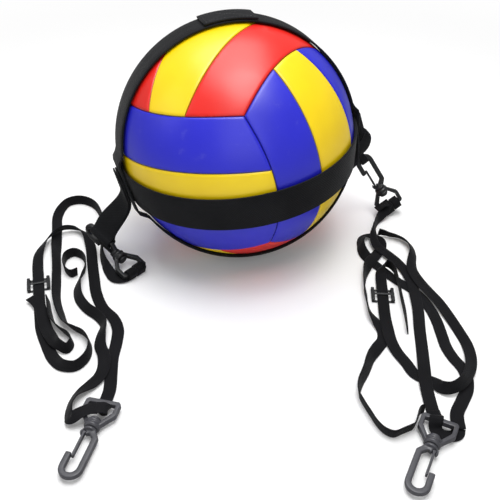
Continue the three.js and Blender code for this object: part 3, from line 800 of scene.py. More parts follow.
def laid_strip(
    name: str,
    finish: Finish,
    stations: Sequence[Station],
    thickness: float,
    *nodes: str,
    closed: bool = False,
) -> bpy.types.Object:
    """Weave a strip through its stations and put it on the main body.

    Args:
        name: The strip's name.
        finish: Its finish.
        stations: The places that it passes.
        thickness: How thick it is.
        nodes: The solids that it stands for.
        closed: True where it joins its own start.

    Returns:
        The strip.
    """
    strip = woven(stations, thickness, closed).make(name, finish)
    return dressed(strip, finish, MAIN_BODY, *nodes)


# Geometry Nodes


class Grower(Tree):
    """A Geometry Nodes tree with named inputs, grown on an object and then baked into a mesh."""

    def __init__(self, name: str) -> None:
        """Start a tree with its geometry sockets.

        Args:
            name: Its name.
        """
        super().__init__(bpy.data.node_groups.new(name, "GeometryNodeTree"))
        self.tree.interface.new_socket("Geometry", in_out="INPUT", socket_type="NodeSocketGeometry")
        self.tree.interface.new_socket("Geometry", in_out="OUTPUT", socket_type="NodeSocketGeometry")
        self.names: dict[str, str] = {}
        self.start: bpy.types.Node | None = None

    def size(self, name: str, kind: str = "NodeSocketFloat") -> None:
        """Add a named input."""
        socket = self.tree.interface.new_socket(name, in_out="INPUT", socket_type=kind)
        self.names[name] = socket.identifier

    def given(self, name: str) -> bpy.types.NodeSocket:
        """Find a named input inside the tree.

        Args:
            name: The input's name.

        Returns:
            Its socket.
        """
        if self.start is None:
            self.start = self.node("NodeGroupInput")
        return self.start.outputs[name]

    def end(self, geometry: Any) -> None:
        """Finish with Realize Instances and Set Material.

        Args:
            geometry: What the tree has made.
        """
        real = self.node("GeometryNodeRealizeInstances", {}, {0: geometry})
        material = self.given("Material")
        coloured = self.node("GeometryNodeSetMaterial", {}, {"Geometry": real, "Material": material})
        self.node("NodeGroupOutput", {}, {0: coloured})

    def grow(self, name: str, base: bpy.types.Mesh, values: dict[str, Any]) -> bpy.types.Object:
        """Run the tree on a mesh and keep the result.

        Args:
            name: The new object's name.
            base: The mesh that the tree starts from.
            values: The named inputs.

        Returns:
            A plain mesh object.
        """
        host = linked(name + "_host", base)
        modifier = host.modifiers.new("grow", "NODES")
        modifier.node_group = self.tree
        for label, value in values.items():
            modifier[self.names[label]] = value
        mesh = settled(host)
        mesh.name = name
        bpy.data.objects.remove(host)
        return linked(name, mesh)


class StitchRows(Grower):
    """Rows of stitches that follow lines on cloth."""

    def __init__(self) -> None:
        """Build the tree."""
        super().__init__("stitch rows")
        for name in ("Pitch", "Stitch Length", "Thread Radius"):
            self.size(name)
        self.size("Material", "NodeSocketMaterial")
        vector = {"data_type": "FLOAT_VECTOR"}
        out = self.node("GeometryNodeInputNamedAttribute", vector, {"Name": OUT_MARK})
        line = self.node("GeometryNodeMeshToCurve", {}, {"Mesh": self.given("Geometry")})
        pitch = {"Curve": line, "Length": self.given("Pitch")}
        spaced = self.node("GeometryNodeResampleCurve", {"mode": "LENGTH"}, pitch)
        tangent = self.node("GeometryNodeInputTangent")
        lie = self.node("FunctionNodeAlignRotationToVector", {"axis": "X"}, {"Vector": tangent.outputs[0]})
        rise = self.node(
            "FunctionNodeAlignRotationToVector",
            {"axis": "Z", "pivot_axis": "X"},
            {"Rotation": lie, "Vector": out.outputs[0]},
        )
        thread = self.node("GeometryNodeMeshUVSphere", {}, {"Segments": 8, "Rings": 5, "Radius": 0.5})
        width = Value(self, self.given("Thread Radius")) * 2.0
        sides = {0: self.given("Stitch Length"), 1: width, 2: width * 0.8}
        scale = self.node("ShaderNodeCombineXYZ", {}, sides)
        placed = self.node(
            "GeometryNodeInstanceOnPoints",
            {},
            {"Points": spaced, "Instance": thread.outputs["Mesh"], "Rotation": rise, "Scale": scale},
        )
        self.end(placed)


class BandRing(Grower):
    """A closed webbing band round a ball, off its middle."""

    def __init__(self) -> None:
        """Build the tree."""
        super().__init__("band ring")
        for name in ("Ring Radius", "Width", "Thickness", "Edge Radius", "Cone Angle", "Tilt Angle"):
            self.size(name)
        self.size("Middle", "NodeSocketVector")
        for name in ("Steps", "Edge Steps"):
            self.size(name, "NodeSocketInt")
        self.size("Material", "NodeSocketMaterial")
        ring = self.node(
            "GeometryNodeCurvePrimitiveCircle",
            {"mode": "RADIUS"},
            {"Resolution": self.given("Steps"), "Radius": self.given("Ring Radius")},
        )
        level = self.node("GeometryNodeSetCurveNormal", {"mode": "Z_UP"}, {"Curve": ring})
        cone = self.given("Cone Angle")
        leaning = self.node("GeometryNodeSetCurveTilt", {}, {"Curve": level, "Tilt": cone})
        section = self.node(
            "GeometryNodeCurvePrimitiveQuadrilateral",
            {"mode": "RECTANGLE"},
            {"Width": self.given("Thickness"), "Height": self.given("Width")},
        )
        rounded = self.node(
            "GeometryNodeFilletCurve",
            {"mode": "POLY"},
            {
                "Curve": section,
                "Count": self.given("Edge Steps"),
                "Radius": self.given("Edge Radius"),
                "Limit Radius": True,
            },
        )
        band = self.node("GeometryNodeCurveToMesh", {}, {"Curve": leaning, "Profile Curve": rounded})
        turn = self.node("ShaderNodeCombineXYZ", {}, {1: Value(self, self.given("Tilt Angle")) * -1.0})
        placed = self.node(
            "GeometryNodeTransform",
            {},
            {"Geometry": band, "Translation": self.given("Middle"), "Rotation": turn},
        )
        smooth = self.node("GeometryNodeSetShadeSmooth", {}, {"Geometry": placed})
        self.end(smooth)


def line_mesh(name: str, lines: Sequence[Sequence[tuple[Vector, Vector]]]) -> bpy.types.Mesh:
    """Lines for the stitches to follow.

    Args:
        name: The mesh's name.
        lines: Each line's points, with the way out of the cloth at each.

    Returns:
        A mesh of edges with the way out kept on its points.
    """
    points, edges, outs = [], [], []
    for line in lines:
        start = len(points)
        points += [tuple(place) for place, _ in line]
        outs += [number for _, out in line for number in out]
        edges += [(start + i, start + i + 1) for i in range(len(line) - 1)]
    mesh = bpy.data.meshes.new(name)
    mesh.from_pydata(points, edges, [])
    mesh.attributes.new(OUT_MARK, "FLOAT_VECTOR", "POINT").data.foreach_set("vector", outs)
    return mesh


def box_lines(
    at: Callable[[float, float], tuple[Vector, Vector]],
    ends: tuple[float, float],
    side: float,
    steps: int,
    end_steps: int = 6,
) -> list[list[tuple[Vector, Vector]]]:
    """Lines for a sewn box with a cross.

    Args:
        at: Gives a place on the cloth and its way out, by its shares along and across.
        ends: Where the box starts and ends, as shares along the cloth.
        side: How far out its sides are, as a share of the cloth's width.
        steps: How many steps its sides and its cross have.
        end_steps: How many steps its ends have.

    Returns:
        Its two sides, its two ends and its cross.
    """
    start, length = ends[0], ends[1] - ends[0]
    spots = [start + length * t / steps for t in range(steps + 1)]
    slants = [2 * side * t / steps - side for t in range(steps + 1)]
    lines = [[at(spot, edge) for spot in spots] for edge in (-side, side)]
    lines += [[at(end, 2 * side * t / end_steps - side) for t in range(end_steps + 1)] for end in ends]
    for sign in (1, -1):
        lines.append([at(spot, sign * slant) for spot, slant in zip(spots, slants, strict=True)])
    return lines


def sewn(
    stitches: StitchRows, name: str, lines: Sequence[Sequence[tuple[Vector, Vector]]], finish: Finish
) -> bpy.types.Object:
    """Sew along lines.

    Args:
        stitches: The tree that makes stitches.
        name: The new piece's name.
        lines: The lines, as places and ways out.
        finish: The thread.

    Returns:
        The stitches, on the main body.
    """
    values = {
        "Pitch": 2.9 * MM,
        "Stitch Length": 2.5 * MM,
        "Thread Radius": 0.34 * MM,
        "Material": finish.material,
    }
    rows = stitches.grow(name, line_mesh(name + "_lines", lines), values)
    rows.data.polygons.foreach_set("use_smooth", [True] * len(rows.data.polygons))
    return dressed(rows, finish, MAIN_BODY)


# The ball


HALF_FACE = math.radians(45)
CORNER_ANGLE = math.atan(math.sqrt(0.5))
SETTLING_ROUNDS = 8


@dataclass
class Valve:
    """The inflation valve: a turned rubber plug with a needle hole, in a hole through its panel."""

    middle: Vector
    way: Vector
    surface: float
    radius: float = 2.6 * MM
    gap: float = 0.25 * MM
    drill_length: float = 20 * MM
    sunk: float = 0.9 * MM
    sides: int = 48
    # The plug's outline from its foot to its needle hole: radius and depth in millimetres.
    outline: tuple[tuple[float, float], ...] = (
        (0.0, 12), (2.3, 12), (2.6, 11.6), (2.6, 7.4), (5.0, 7.3), (5.0, 3.4), (2.6, 3.2), (2.6, 0.35),
        (2.35, 0.08), (2.0, 0), (1.7, 0.15), (1.2, 0.5), (0.8, 0.9), (0.7, 4), (0.0, 4),
    )

    def drill(self, panel: bpy.types.Object) -> None:
        """Cut the valve's hole in a panel.

        Args:
            panel: The panel over the valve.
        """
        shaper = bmesh.new()
        turn = self.way.to_track_quat("Z", "Y").to_matrix().to_4x4()
        bmesh.ops.create_cone(
            shaper,
            cap_ends=True,
            segments=self.sides,
            radius1=self.radius + self.gap,
            radius2=self.radius + self.gap,
            depth=self.drill_length,
            matrix=Matrix.Translation(self.middle + self.way * self.surface) @ turn,
        )
        tool_mesh = bpy.data.meshes.new("valve_tool")
        shaper.to_mesh(tool_mesh)
        shaper.free()
        tool = linked("valve_tool", tool_mesh)
        cut = panel.modifiers.new("valve hole", "BOOLEAN")
        cut.object = tool
        cut.operation = "DIFFERENCE"
        cut.solver = "EXACT"
        panel.data = settled(panel)
        bpy.data.objects.remove(tool)

    def build(self) -> bpy.types.Object:
        """Turn the plug.

        Returns:
            The plug, not yet dressed.
        """
        mouth = self.surface - self.sunk
        turn = self.way.to_track_quat("Z", "Y").to_matrix()
        outline = [(radius * MM, mouth - depth * MM) for radius, depth in self.outline]
        shape = Shape(points=[turn @ Vector((0, 0, outline[0][1])) + self.middle])
        for radius, height in outline[1:-1]:
            for i in range(self.sides):
                angle = 2 * math.pi * i / self.sides
                place = Vector((radius * math.cos(angle), radius * math.sin(angle), height))
                shape.points.append(turn @ place + self.middle)
        shape.points.append(turn @ Vector((0, 0, outline[-1][1])) + self.middle)
        rows = len(outline) - 2
        last = 1 + (rows - 1) * self.sides
        for i in range(self.sides):
            k = (i + 1) % self.sides
            shape.faces.append((0, 1 + k, 1 + i))
            for row in range(rows - 1):
                here, after = 1 + row * self.sides, 1 + (row + 1) * self.sides
                shape.faces.append((here + i, here + k, after + k, after + i))
            shape.faces.append((last + i, last + k, len(shape.points) - 1))
        return shape.make("ball_valve", Finish.VALVE)


@dataclass(frozen=True)
class BallFace:
    """One of six faces, each of three strips: its way out, its strips' run and the way across."""

    name: str
    out: Vector
    run: Vector
    across: Vector
    outer: Finish


@dataclass
class Ball:
    """The ball: eighteen panels on a lining and a bladder, with a valve."""

    radius: float = 105 * MM
    rest_depth: float = 0.8 * MM
    thickness: float = 2.4 * MM
    seam_gap: float = 0.22 * MM
    seam_depth: float = 1.4 * MM
    seam_roll: float = 3.0 * MM
    strip_angle: float = math.radians(14.9)
    bow_angle: float = math.radians(-6.4)
    taper_share: float = 0.26
    crown: Vector = field(default_factory=lambda: Vector((-0.1783, -0.0011, 0.984)).normalized())
    front: Vector = field(default_factory=lambda: Vector((-0.5259, -0.8451, -0.0963)))
    valve_lift: float = math.radians(7)
    middle_width_share: float = 0.52
    outer_width_share: float = 0.49
    rows_across: int = 9
    rows_along: int = 40
    # How far from a panel's edge its closest rows lie, in millimetres.
    rim_rows: tuple[float, ...] = (0.0, 0.12, 0.35, 0.7, 1.1, 1.6, 2.3, 3.2)

    def __post_init__(self) -> None:
        """Square the three axes."""
        self.front = (self.front - self.crown * self.front.dot(self.crown)).normalized()
        self.side = self.crown.cross(self.front)
        self.middle = Vector((0.0, 0.0, self.radius - self.rest_depth))

    def faces(self) -> list[BallFace]:
        """List the faces.

        Returns:
            Three pairs of opposite faces, whose strips run alike.
        """
        crown, front, side = self.crown, self.front, self.side
        pairs = [
            ("top", "bottom", crown, front, side, Finish.RED),
            ("right", "left", side, crown, front, Finish.BLUE),
            ("front", "back", front, side, crown, Finish.BLUE),
        ]
        return [
            BallFace(name, way, run, across, outer)
            for near, far, out, run, across, outer in pairs
            for name, way in ((near, out), (far, -out))
        ]

    def bow(self, angle: np.ndarray) -> np.ndarray:
        """How far a face's border bows out at an angle from its middle."""
        return self.bow_angle * (1 - (angle / CORNER_ANGLE) ** 2)

    def line(self, number: int, longitude: np.ndarray) -> np.ndarray:
        """The latitude of a strip's border.

        Args:
            number: 1 for a line between strips, 2 for the face's own border.
            longitude: Where along the strips.

        Returns:
            The latitude there.
        """
        if number == 1:
            return self.strip_angle * (1 - self.taper_share * (longitude / HALF_FACE) ** 2)
        latitude = np.full_like(longitude, HALF_FACE)
        for _ in range(SETTLING_ROUNDS):
            run = np.arcsin(np.cos(latitude) * np.sin(longitude))
            latitude = np.arctan(np.cos(longitude) * np.tan(HALF_FACE + self.bow(run)))
        return latitude

    def place(self, face: BallFace, lines: tuple[int, int], u: np.ndarray, v: np.ndarray) -> np.ndarray:
        """Unit directions on a panel.

        Args:
            face: The face that the panel is on.
            lines: The numbers of its two borders, negative below the middle.
            u: Shares along it, from -1 to 1.
            v: Shares across it, from 0 to 1.

        Returns:
            One direction for each share.
        """
        inset = self.seam_gap / 2 / self.radius
        longitude = u * HALF_FACE
        latitude = np.zeros_like(u)
        for _ in range(SETTLING_ROUNDS):
            low, high = (np.sign(n) * self.line(abs(n), longitude) for n in lines)
            latitude = (low + inset) * (1 - v) + (high - inset) * v
            longitude = u * (HALF_FACE - self.bow(latitude) - inset / np.cos(latitude))
        level = np.cos(latitude)
        ways = [level * np.cos(longitude), level * np.sin(longitude), np.sin(latitude)]
        axes = np.array([face.out, face.run, face.across])
        return np.stack(ways, axis=-1) @ axes

    def panel(self, face: BallFace, lines: tuple[int, int]) -> Shape:
        """Shape one panel, with its edges rolled down into the seams.

        Args:
            face: The face that it is on.
            lines: The numbers of its two borders.

        Returns:
            The panel, with its distance from the seam marked.
        """
        length = 2 * HALF_FACE * self.radius
        width = (self.middle_width_share if lines == (-1, 1) else self.outer_width_share) * self.radius
        across = self._rows(width, self.rows_across)
        along = self._rows(length, self.rows_along)
        rings, marks = [], []
        for share in along:
            u = np.full(len(across), 2 * share - 1)
            ways = self.place(face, lines, u, across)
            from_end = min(share, 1 - share) * length
            from_side = np.minimum(across, 1 - across) * width
            drops = self._drop(np.array([from_end])) ** 2 + self._drop(from_side) ** 2
            depth = self.seam_depth * np.minimum(1.0, np.sqrt(drops))
            skin = ways * (self.radius - depth)[:, None]
            under = ways[::-1] * (self.radius - self.thickness)
            rings.append([self._seat(point) for point in np.vstack([skin, under])])
            seam = np.minimum(from_side, from_end)
            marks += [*seam, *(0.0 * seam)]
        shape = loft(rings)
        shape.marks[SEAM_MARK] = marks
        return shape

    def _rows(self, size: float, inner: int) -> np.ndarray:
        """Space a panel's rows, close together at both edges.

        Args:
            size: How far it is from edge to edge.
            inner: How many rows lie between the rims, counting both ends.

        Returns:
            Shares from 0 to 1.
        """
        edge = np.array(self.rim_rows) * MM / size
        middle = np.linspace(edge[-1], 1 - edge[-1], inner)[1:-1]
        return np.concatenate([edge, middle, 1 - edge[::-1]])

    def _drop(self, distance: np.ndarray) -> np.ndarray:
        """How far an edge has rolled down at a distance from the seam, as a share."""
        share = np.clip(1 - distance / self.seam_roll, 0, 1)
        return 1 - np.sqrt(1 - share**2)

    def _seat(self, point: np.ndarray) -> Vector:
        """Set a point of the ball in the trainer's frame, no lower than the floor.

        Args:
            point: The point, from the ball's middle.

        Returns:
            Its place.
        """
        seated = Vector(point) + self.middle
        seated.z = max(seated.z, 0.0)
        return seated

    def build(self) -> None:
        """Build and dress every piece of the ball."""
        turn = Matrix.Rotation(self.valve_lift, 3, self.side)
        valve = Valve(self.middle, turn @ -self.front, self.radius)
        strips = [(-2, -1), (-1, 1), (1, 2)]
        for face in self.faces():
            for number, lines in enumerate(strips, start=1):
                finish = Finish.YELLOW if number == 2 else face.outer
                panel = self.panel(face, lines).make(f"ball_{face.name}_{number}", finish)
                if face.name == "back" and number == 2:
                    valve.drill(panel)
                dressed(panel, finish, MAIN_BODY, f"panel_{face.name}_{number}")
        dressed(valve.build(), Finish.VALVE, MAIN_BODY, "valve")
        for node, finish in (("carcass_lining", Finish.LINING), ("bladder", Finish.BLADDER)):
            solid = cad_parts[node]
            solid.data.materials.clear()
            solid.data.materials.append(finish.material)


# The harness


@dataclass
class Harness:
    """Two webbing bands crossed at the ball's sides, and the lap that joins one of them."""

    ball: Ball
    width: float = 32 * MM
    thickness: float = 1.8 * MM
    clearance: float = 0.3 * MM
    belt_tilt: float = math.radians(6.3)
    belt_drop: float = 11.9 * MM
    left_angle: float = math.radians(202)
    right_angle: float = math.radians(8)
    crown_back: float = 12 * MM
    foot_forward: float = 51 * MM
    ramp: float = 9 * MM
    margin: float = 1 * MM
    lap_length: float = 42 * MM
    lap_turn: float = math.radians(4)
    edge_share: float = 0.45
    edge_steps: int = 4
    belt_steps: int = 192
    arc_steps: int = 96
    facets: int = 48
    box_ends: tuple[float, float] = (0.06, 0.94)
    box_side: float = 0.4
    box_steps: int = 12
    lap: list[Station] = field(default_factory=list, init=False)

    def __post_init__(self) -> None:
        """Work out the radii of the layers and the junctions."""
        chord = math.cos(math.pi / self.facets)
        self.rest = self.ball.radius / chord + self.clearance + self.thickness / 2
        self.over = (self.rest + self.thickness / 2) / chord + self.clearance + self.thickness / 2
        self.top = self.over + self.thickness / 2
        self.belt_normal = Vector((-math.sin(self.belt_tilt), 0, math.cos(self.belt_tilt)))
        self.belt_level = Vector((math.cos(self.belt_tilt), 0, math.sin(self.belt_tilt)))
        self.left = self.belt_way(self.left_angle)
        self.right = self.belt_way(self.right_angle)

    def belt_way(self, angle: float) -> Vector:
        """Find the belt's middle line.

        Args:
            angle: How far round the ball, from the right.

        Returns:
            The way to it from the ball's middle.
        """
        ring = math.sqrt(self.ball.radius**2 - self.belt_drop**2)
        point = self.belt_normal * -self.belt_drop + self.belt_level * (ring * math.cos(angle))
        return (point + Vector((0, ring * math.sin(angle), 0))).normalized()

    @staticmethod
    def arc(start: Vector, through: Vector, end: Vector, steps: int) -> list[Vector]:
        """Follow the circle on the ball through three directions.

        Args:
            start: The first direction.
            through: One on the way.
            end: The last.
            steps: How many steps to take.

        Returns:
            Directions from start to end.
        """
        axis = (through - start).cross(end - through).normalized()
        centre = axis * axis.dot(start)
        spoke = start - centre
        sideways = axis.cross(spoke)
        reach = end - centre
        sweep = math.atan2(reach.dot(sideways), reach.dot(spoke)) % (2 * math.pi)
        turns = (sweep * i / steps for i in range(steps + 1))
        return [centre + spoke * math.cos(a) + sideways * math.sin(a) for a in turns]

    def hoop_radius(self, out: Vector, across: Vector) -> float:
        """Find how far out the hoop lies: on the ball, or over the belt.

        Args:
            out: The way to a place on it.
            across: The way across it there.

        Returns:
            The distance from the ball's middle.
        """
        drop = math.asin(self.belt_drop / self.ball.radius)
        from_belt = abs(math.asin(out.dot(self.belt_normal)) + drop)
        half_cover = self.width / 2 * (1 + abs(across.dot(self.belt_normal)))
        flat_end = (half_cover + self.margin) / self.ball.radius
        ramp_end = flat_end + self.ramp / self.ball.radius
        bridge = self.over / math.cos(min(from_belt, flat_end))
        if from_belt >= ramp_end:
            return self.rest
        share = max(0.0, (from_belt - flat_end) / (ramp_end - flat_end))
        return bridge + (self.rest - bridge) * share * share * (3 - 2 * share)

    def crown(self) -> Vector:
        """The way to the hoop's highest point."""
        up = math.sqrt(self.ball.radius**2 - self.crown_back**2)
        return Vector((0, self.crown_back, up)).normalized()

    def foot(self) -> Vector:
        """The way to the hoop's lowest point."""
        down = math.sqrt(self.ball.radius**2 - self.foot_forward**2)
        return Vector((0, -self.foot_forward, -down)).normalized()

    def stations(
        self, ways: Sequence[Vector], radius: Callable[[Vector, Vector], float], closed: bool
    ) -> list[Station]:
        """Lay stations along directions on the ball.

        Args:
            ways: The directions.
            radius: Gives the distance from the ball's middle, by the ways out and across.
            closed: True where the last joins the first.

        Returns:
            A station for each direction.
        """
        count = len(ways)
        made = []
        for i, out in enumerate(ways):
            before = ways[i - 1] if closed or i else out
            after = ways[(i + 1) % count] if closed or i + 1 < count else out
            across = out.cross(after - before).normalized()
            made.append(Station(out * radius(out, across) + self.ball.middle, across, out, self.width))
        return made

    def build_belt(self, ring: BandRing) -> bpy.types.Object:
        """Grow the level band.

        Args:
            ring: The tree that makes a band.

        Returns:
            The band, not yet dressed.
        """
        cone = math.asin(self.belt_drop / self.ball.radius)
        values = {
            "Ring Radius": self.rest * math.cos(cone),
            "Width": self.width,
            "Thickness": self.thickness,
            "Edge Radius": self.thickness * self.edge_share,
            "Cone Angle": cone,
            "Tilt Angle": self.belt_tilt,
            "Middle": tuple(self.ball.middle - self.belt_normal * (self.rest * math.sin(cone))),
            "Steps": self.belt_steps,
            "Edge Steps": self.edge_steps,
            "Material": Finish.BAND.material,
        }
        belt = ring.grow("harness_belt_band", bpy.data.meshes.new("belt_base"), values)
        self.lay_weave(belt)
        return belt

    def lay_weave(self, belt: bpy.types.Object) -> None:
        """Give the belt its weave places, by its own angle and height.

        Args:
            belt: The band.
        """
        mesh = belt.data
        layer = mesh.uv_layers.new(name=WEAVE_MAP)
        places = []
        for point in mesh.vertices:
            offset = point.co - self.ball.middle
            angle = math.atan2(offset.y, offset.dot(self.belt_level))
            places.append((angle * self.rest, offset.dot(self.belt_normal) + self.belt_drop))
        whole = 2 * math.pi * self.rest
        for face in mesh.polygons:
            corners = [places[mesh.loops[i].vertex_index] for i in face.loop_indices]
            wraps = max(u for u, _ in corners) - min(u for u, _ in corners) > whole / 2
            for i, (u, v) in zip(face.loop_indices, corners, strict=True):
                layer.data[i].uv = (u + whole if wraps and u < 0 else u, v)

    def build(self, stitches: StitchRows, ring: BandRing) -> None:
        """Build and dress the bands.

        Args:
            stitches: The tree that makes stitches.
            ring: The tree that makes a band.
        """
        dressed(self.build_belt(ring), Finish.BAND, MAIN_BODY, "harness_belt")
        over = self.arc(self.left, self.crown(), self.right, self.arc_steps)
        under = self.arc(self.right, self.foot(), self.left, self.arc_steps)
        hoop = self.stations([*over[:-1], *under[:-1]], self.hoop_radius, True)
        laid_strip("harness_hoop_band", Finish.BAND, hoop, self.thickness, "harness_hoop", closed=True)
        lift = self.rest + self.thickness + 2 * self.clearance
        step = math.pi / self.arc_steps
        middle = self.arc_steps // 2 + round(self.lap_turn / step)
        reach = round(self.lap_length / 2 / self.ball.radius / step)
        part = over[middle - reach : middle + reach + 1]
        self.lap = self.stations(part, lambda out, across: lift, False)
        laid_strip("hoop_lap_band", Finish.BAND, self.lap, self.thickness, "hoop_lap")
        lines = box_lines(self.on_lap, self.box_ends, self.box_side, self.box_steps)
        sewn(stitches, "hoop_lap_stitches", lines, Finish.THREAD)

    def on_lap(self, along: float, across: float) -> tuple[Vector, Vector]:
        """Find a place on the lap.

        Args:
            along: Its share along the lap.
            across: How far across, as a share of the width.

        Returns:
            The place and the way out of the cloth.
        """
        spot = along * (len(self.lap) - 1)
        i = min(int(spot), len(self.lap) - 2)
        here, after = self.lap[i], self.lap[i + 1]
        out = here.out.lerp(after.out, spot - i).normalized()
        place = here.centre.lerp(after.centre, spot - i) + out * (self.thickness / 2)
        return place + here.across * (across * self.width), out


# The tabs


@dataclass
class Tab:
    """A strip folded in two from a junction to the eye that holds a clip."""

    name: str
    harness: Harness
    way: Vector
    rise: float
    eye: Vector
    eye_across: Vector
    eye_radius: float
    eye_width: float
    width: float = 24 * MM
    thickness: float = 1.6 * MM
    sewn_length: float = 11 * MM
    twist: tuple[float, float] = (0.35, 1.0)
    bunch: tuple[float, float] = (0.35, 1.0)
    slack: float = 0.0
    eye_gap: float = math.radians(35)
    eye_steps: int = 32
    sewn_steps: int = 12
    free_steps: int = 24
    box_ends: tuple[float, float] = (0.08, 0.94)
    box_side: float = 0.38
    box_steps: int = 8
    sewn_end: list[Station] = field(default_factory=list, init=False)

    def build(self, stitches: StitchRows) -> None:
        """Build, dress and sew the tab.

        Args:
            stitches: The tree that makes stitches.
        """
        laid_strip(f"{self.name}_strip", Finish.TAB, self.stations(), self.thickness, self.name)
        self.sewn_end = self.legs()[: self.sewn_steps]
        lines = box_lines(self.on_end, self.box_ends, self.box_side, self.box_steps)
        sewn(stitches, f"{self.name}_stitches", lines, Finish.THREAD)

    def stations(self) -> list[Station]:
        """Follow the strip down its outer layer, round the eye and back under itself.

        Returns:
            The strip's stations.
        """
        layer = (self.thickness + self.harness.clearance) / 2
        legs = self.legs()
        loop_radius = self.eye_radius + self.thickness / 2
        run = self.end_run()
        out = run.cross(self.eye_across)
        loop = []
        for i in range(self.eye_steps + 1):
            angle = self.eye_gap + (2 * math.pi - 2 * self.eye_gap) * i / self.eye_steps
            spoke = run * -math.cos(angle) + out * math.sin(angle)
            loop.append(Station(self.eye + spoke * loop_radius, self.eye_across, spoke, self.eye_width))
        outer = [Station(s.centre + s.out * layer, s.across, s.out, s.width) for s in legs]
        inner = [Station(s.centre - s.out * layer, s.across, -s.out, s.width) for s in reversed(legs)]
        return [*outer, *loop, *inner]

    def start(self) -> Vector:
        """The middle of the sewn end, between its two layers."""
        seat = self.harness.top + self.rise + self.harness.clearance * 1.5 + self.thickness
        return self.way * seat + self.harness.ball.middle

    def end_run(self) -> Vector:
        """The way in which the strip arrives at its eye."""
        whole = (self.eye - self.start()).normalized()
        return (whole - self.eye_across * whole.dot(self.eye_across)).normalized()

    def legs(self) -> list[Station]:
        """Follow the line between the two layers, from the sewn end to the eye's neck.

        Returns:
            Stations on that line.
        """
        start = self.start()
        whole = self.eye - start
        down = (whole - self.way * whole.dot(self.way)).normalized()
        run = self.end_run()
        neck = self.eye - run * (2 * (self.eye_radius + self.thickness / 2))
        sewn_end = start + down * self.sewn_length
        handle = (neck - sewn_end).length / 3
        slack = self.way * self.slack
        hold = [sewn_end, sewn_end + down * handle + slack, neck - run * handle + slack, neck]
        half = self.sewn_steps // 2
        points = [start + down * (self.sewn_length * (i / half - 1)) for i in range(self.sewn_steps)]
        for i in range(self.free_steps + 1):
            t = i / self.free_steps
            weights = ((1 - t) ** 3, 3 * t * (1 - t) ** 2, 3 * t * t * (1 - t), t**3)
            points.append(sum((p * w for p, w in zip(hold, weights, strict=True)), Vector()))
        passed = [0.0]
        for before, after in zip(points, points[1:], strict=False):
            passed.append(passed[-1] + (after - before).length)
        first = self.way.cross(down).normalized()
        made = []
        for i, point in enumerate(points):
            way = heading(points, i)
            share = passed[i] / passed[-1]
            turned, gathered = (eased(share, *span) for span in (self.twist, self.bunch))
            across = first.lerp(self.eye_across, turned)
            across = (across - way * across.dot(way)).normalized()
            width = self.width + (self.eye_width - self.width) * gathered
            made.append(Station(point, across, way.cross(across), width))
        return made

    def on_end(self, along: float, across: float) -> tuple[Vector, Vector]:
        """Find a place on the sewn end's outer face.

        Args:
            along: Its share along the sewn end.
            across: How far across, as a share of the width.

        Returns:
            The place and the way out of the cloth.
        """
        spot = along * (len(self.sewn_end) - 1)
        i = min(int(spot), len(self.sewn_end) - 2)
        here, after = self.sewn_end[i], self.sewn_end[i + 1]
        lift = here.out * (self.thickness + self.harness.clearance / 2)
        place = here.centre.lerp(after.centre, spot - i) + lift
        return place + here.across * (across * self.width), here.out


# The snap hooks, the sliders and the tape held in their frames


@dataclass(frozen=True)
class Bead:
    """A raised ring moulded round a barrel."""

    middle: Vector
    axis: Vector
    radius: float = 4.75 * MM
    rise: float = 1.4 * MM
    sides: int = 48
    section_sides: int = 10

    def add(self, shaper: bmesh.types.BMesh) -> None:
        """Put the ring's faces with those of the piece that carries it.

        Args:
            shaper: That piece's mesh in the making.
        """
        first = self.axis.orthogonal().normalized()
        second = self.axis.cross(first).normalized()
        rings = []
        for i in range(self.sides):
            angle = 2 * math.pi * i / self.sides
            spoke = first * math.cos(angle) + second * math.sin(angle)
            ring = []
            for k in range(self.section_sides):
                turn = 2 * math.pi * k / self.section_sides
                reach = self.radius + self.rise * math.cos(turn)
                ring.append(self.middle + spoke * reach + self.axis * (self.rise * math.sin(turn)))
            rings.append(ring)
        shape = loft(rings, True)
        shape.turn_outwards()
        corners = [shaper.verts.new(point) for point in shape.points]
        for face in shape.faces:
            shaper.faces.new([corners[i] for i in face])


@dataclass
class Moulding:
    """A moulded plastic piece: its solid with every edge eased, as it leaves the mould."""

    node: str
    body: str
    finish: Finish
    voxel: float = 0.32 * MM
    rounds: int = 14
    beads: Sequence[Bead] = ()
    weld: float = 0.002 * MM
    ease_share: float = 0.5

    def build(self) -> bpy.types.Object:
        """Build and dress the piece.

        Returns:
            The piece.
        """
        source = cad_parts[self.node]
        shaper = bmesh.new()
        shaper.from_mesh(source.data)
        bmesh.ops.remove_doubles(shaper, verts=shaper.verts, dist=self.weld)
        for bead in self.beads:
            bead.add(shaper)
        mesh = bpy.data.meshes.new(self.node + "_eased")
        shaper.to_mesh(mesh)
        shaper.free()
        piece = linked(self.node + "_eased", mesh)
        remesh = piece.modifiers.new("remesh", "REMESH")
        remesh.mode = "VOXEL"
        remesh.voxel_size = self.voxel
        remesh.use_smooth_shade = True
        ease = piece.modifiers.new("ease", "SMOOTH")
        ease.factor = self.ease_share
        ease.iterations = self.rounds
        piece.data = settled(piece)
        piece.data.materials.clear()
        piece.data.materials.append(self.finish.material)
        return dressed(piece, self.finish, self.body, self.node)


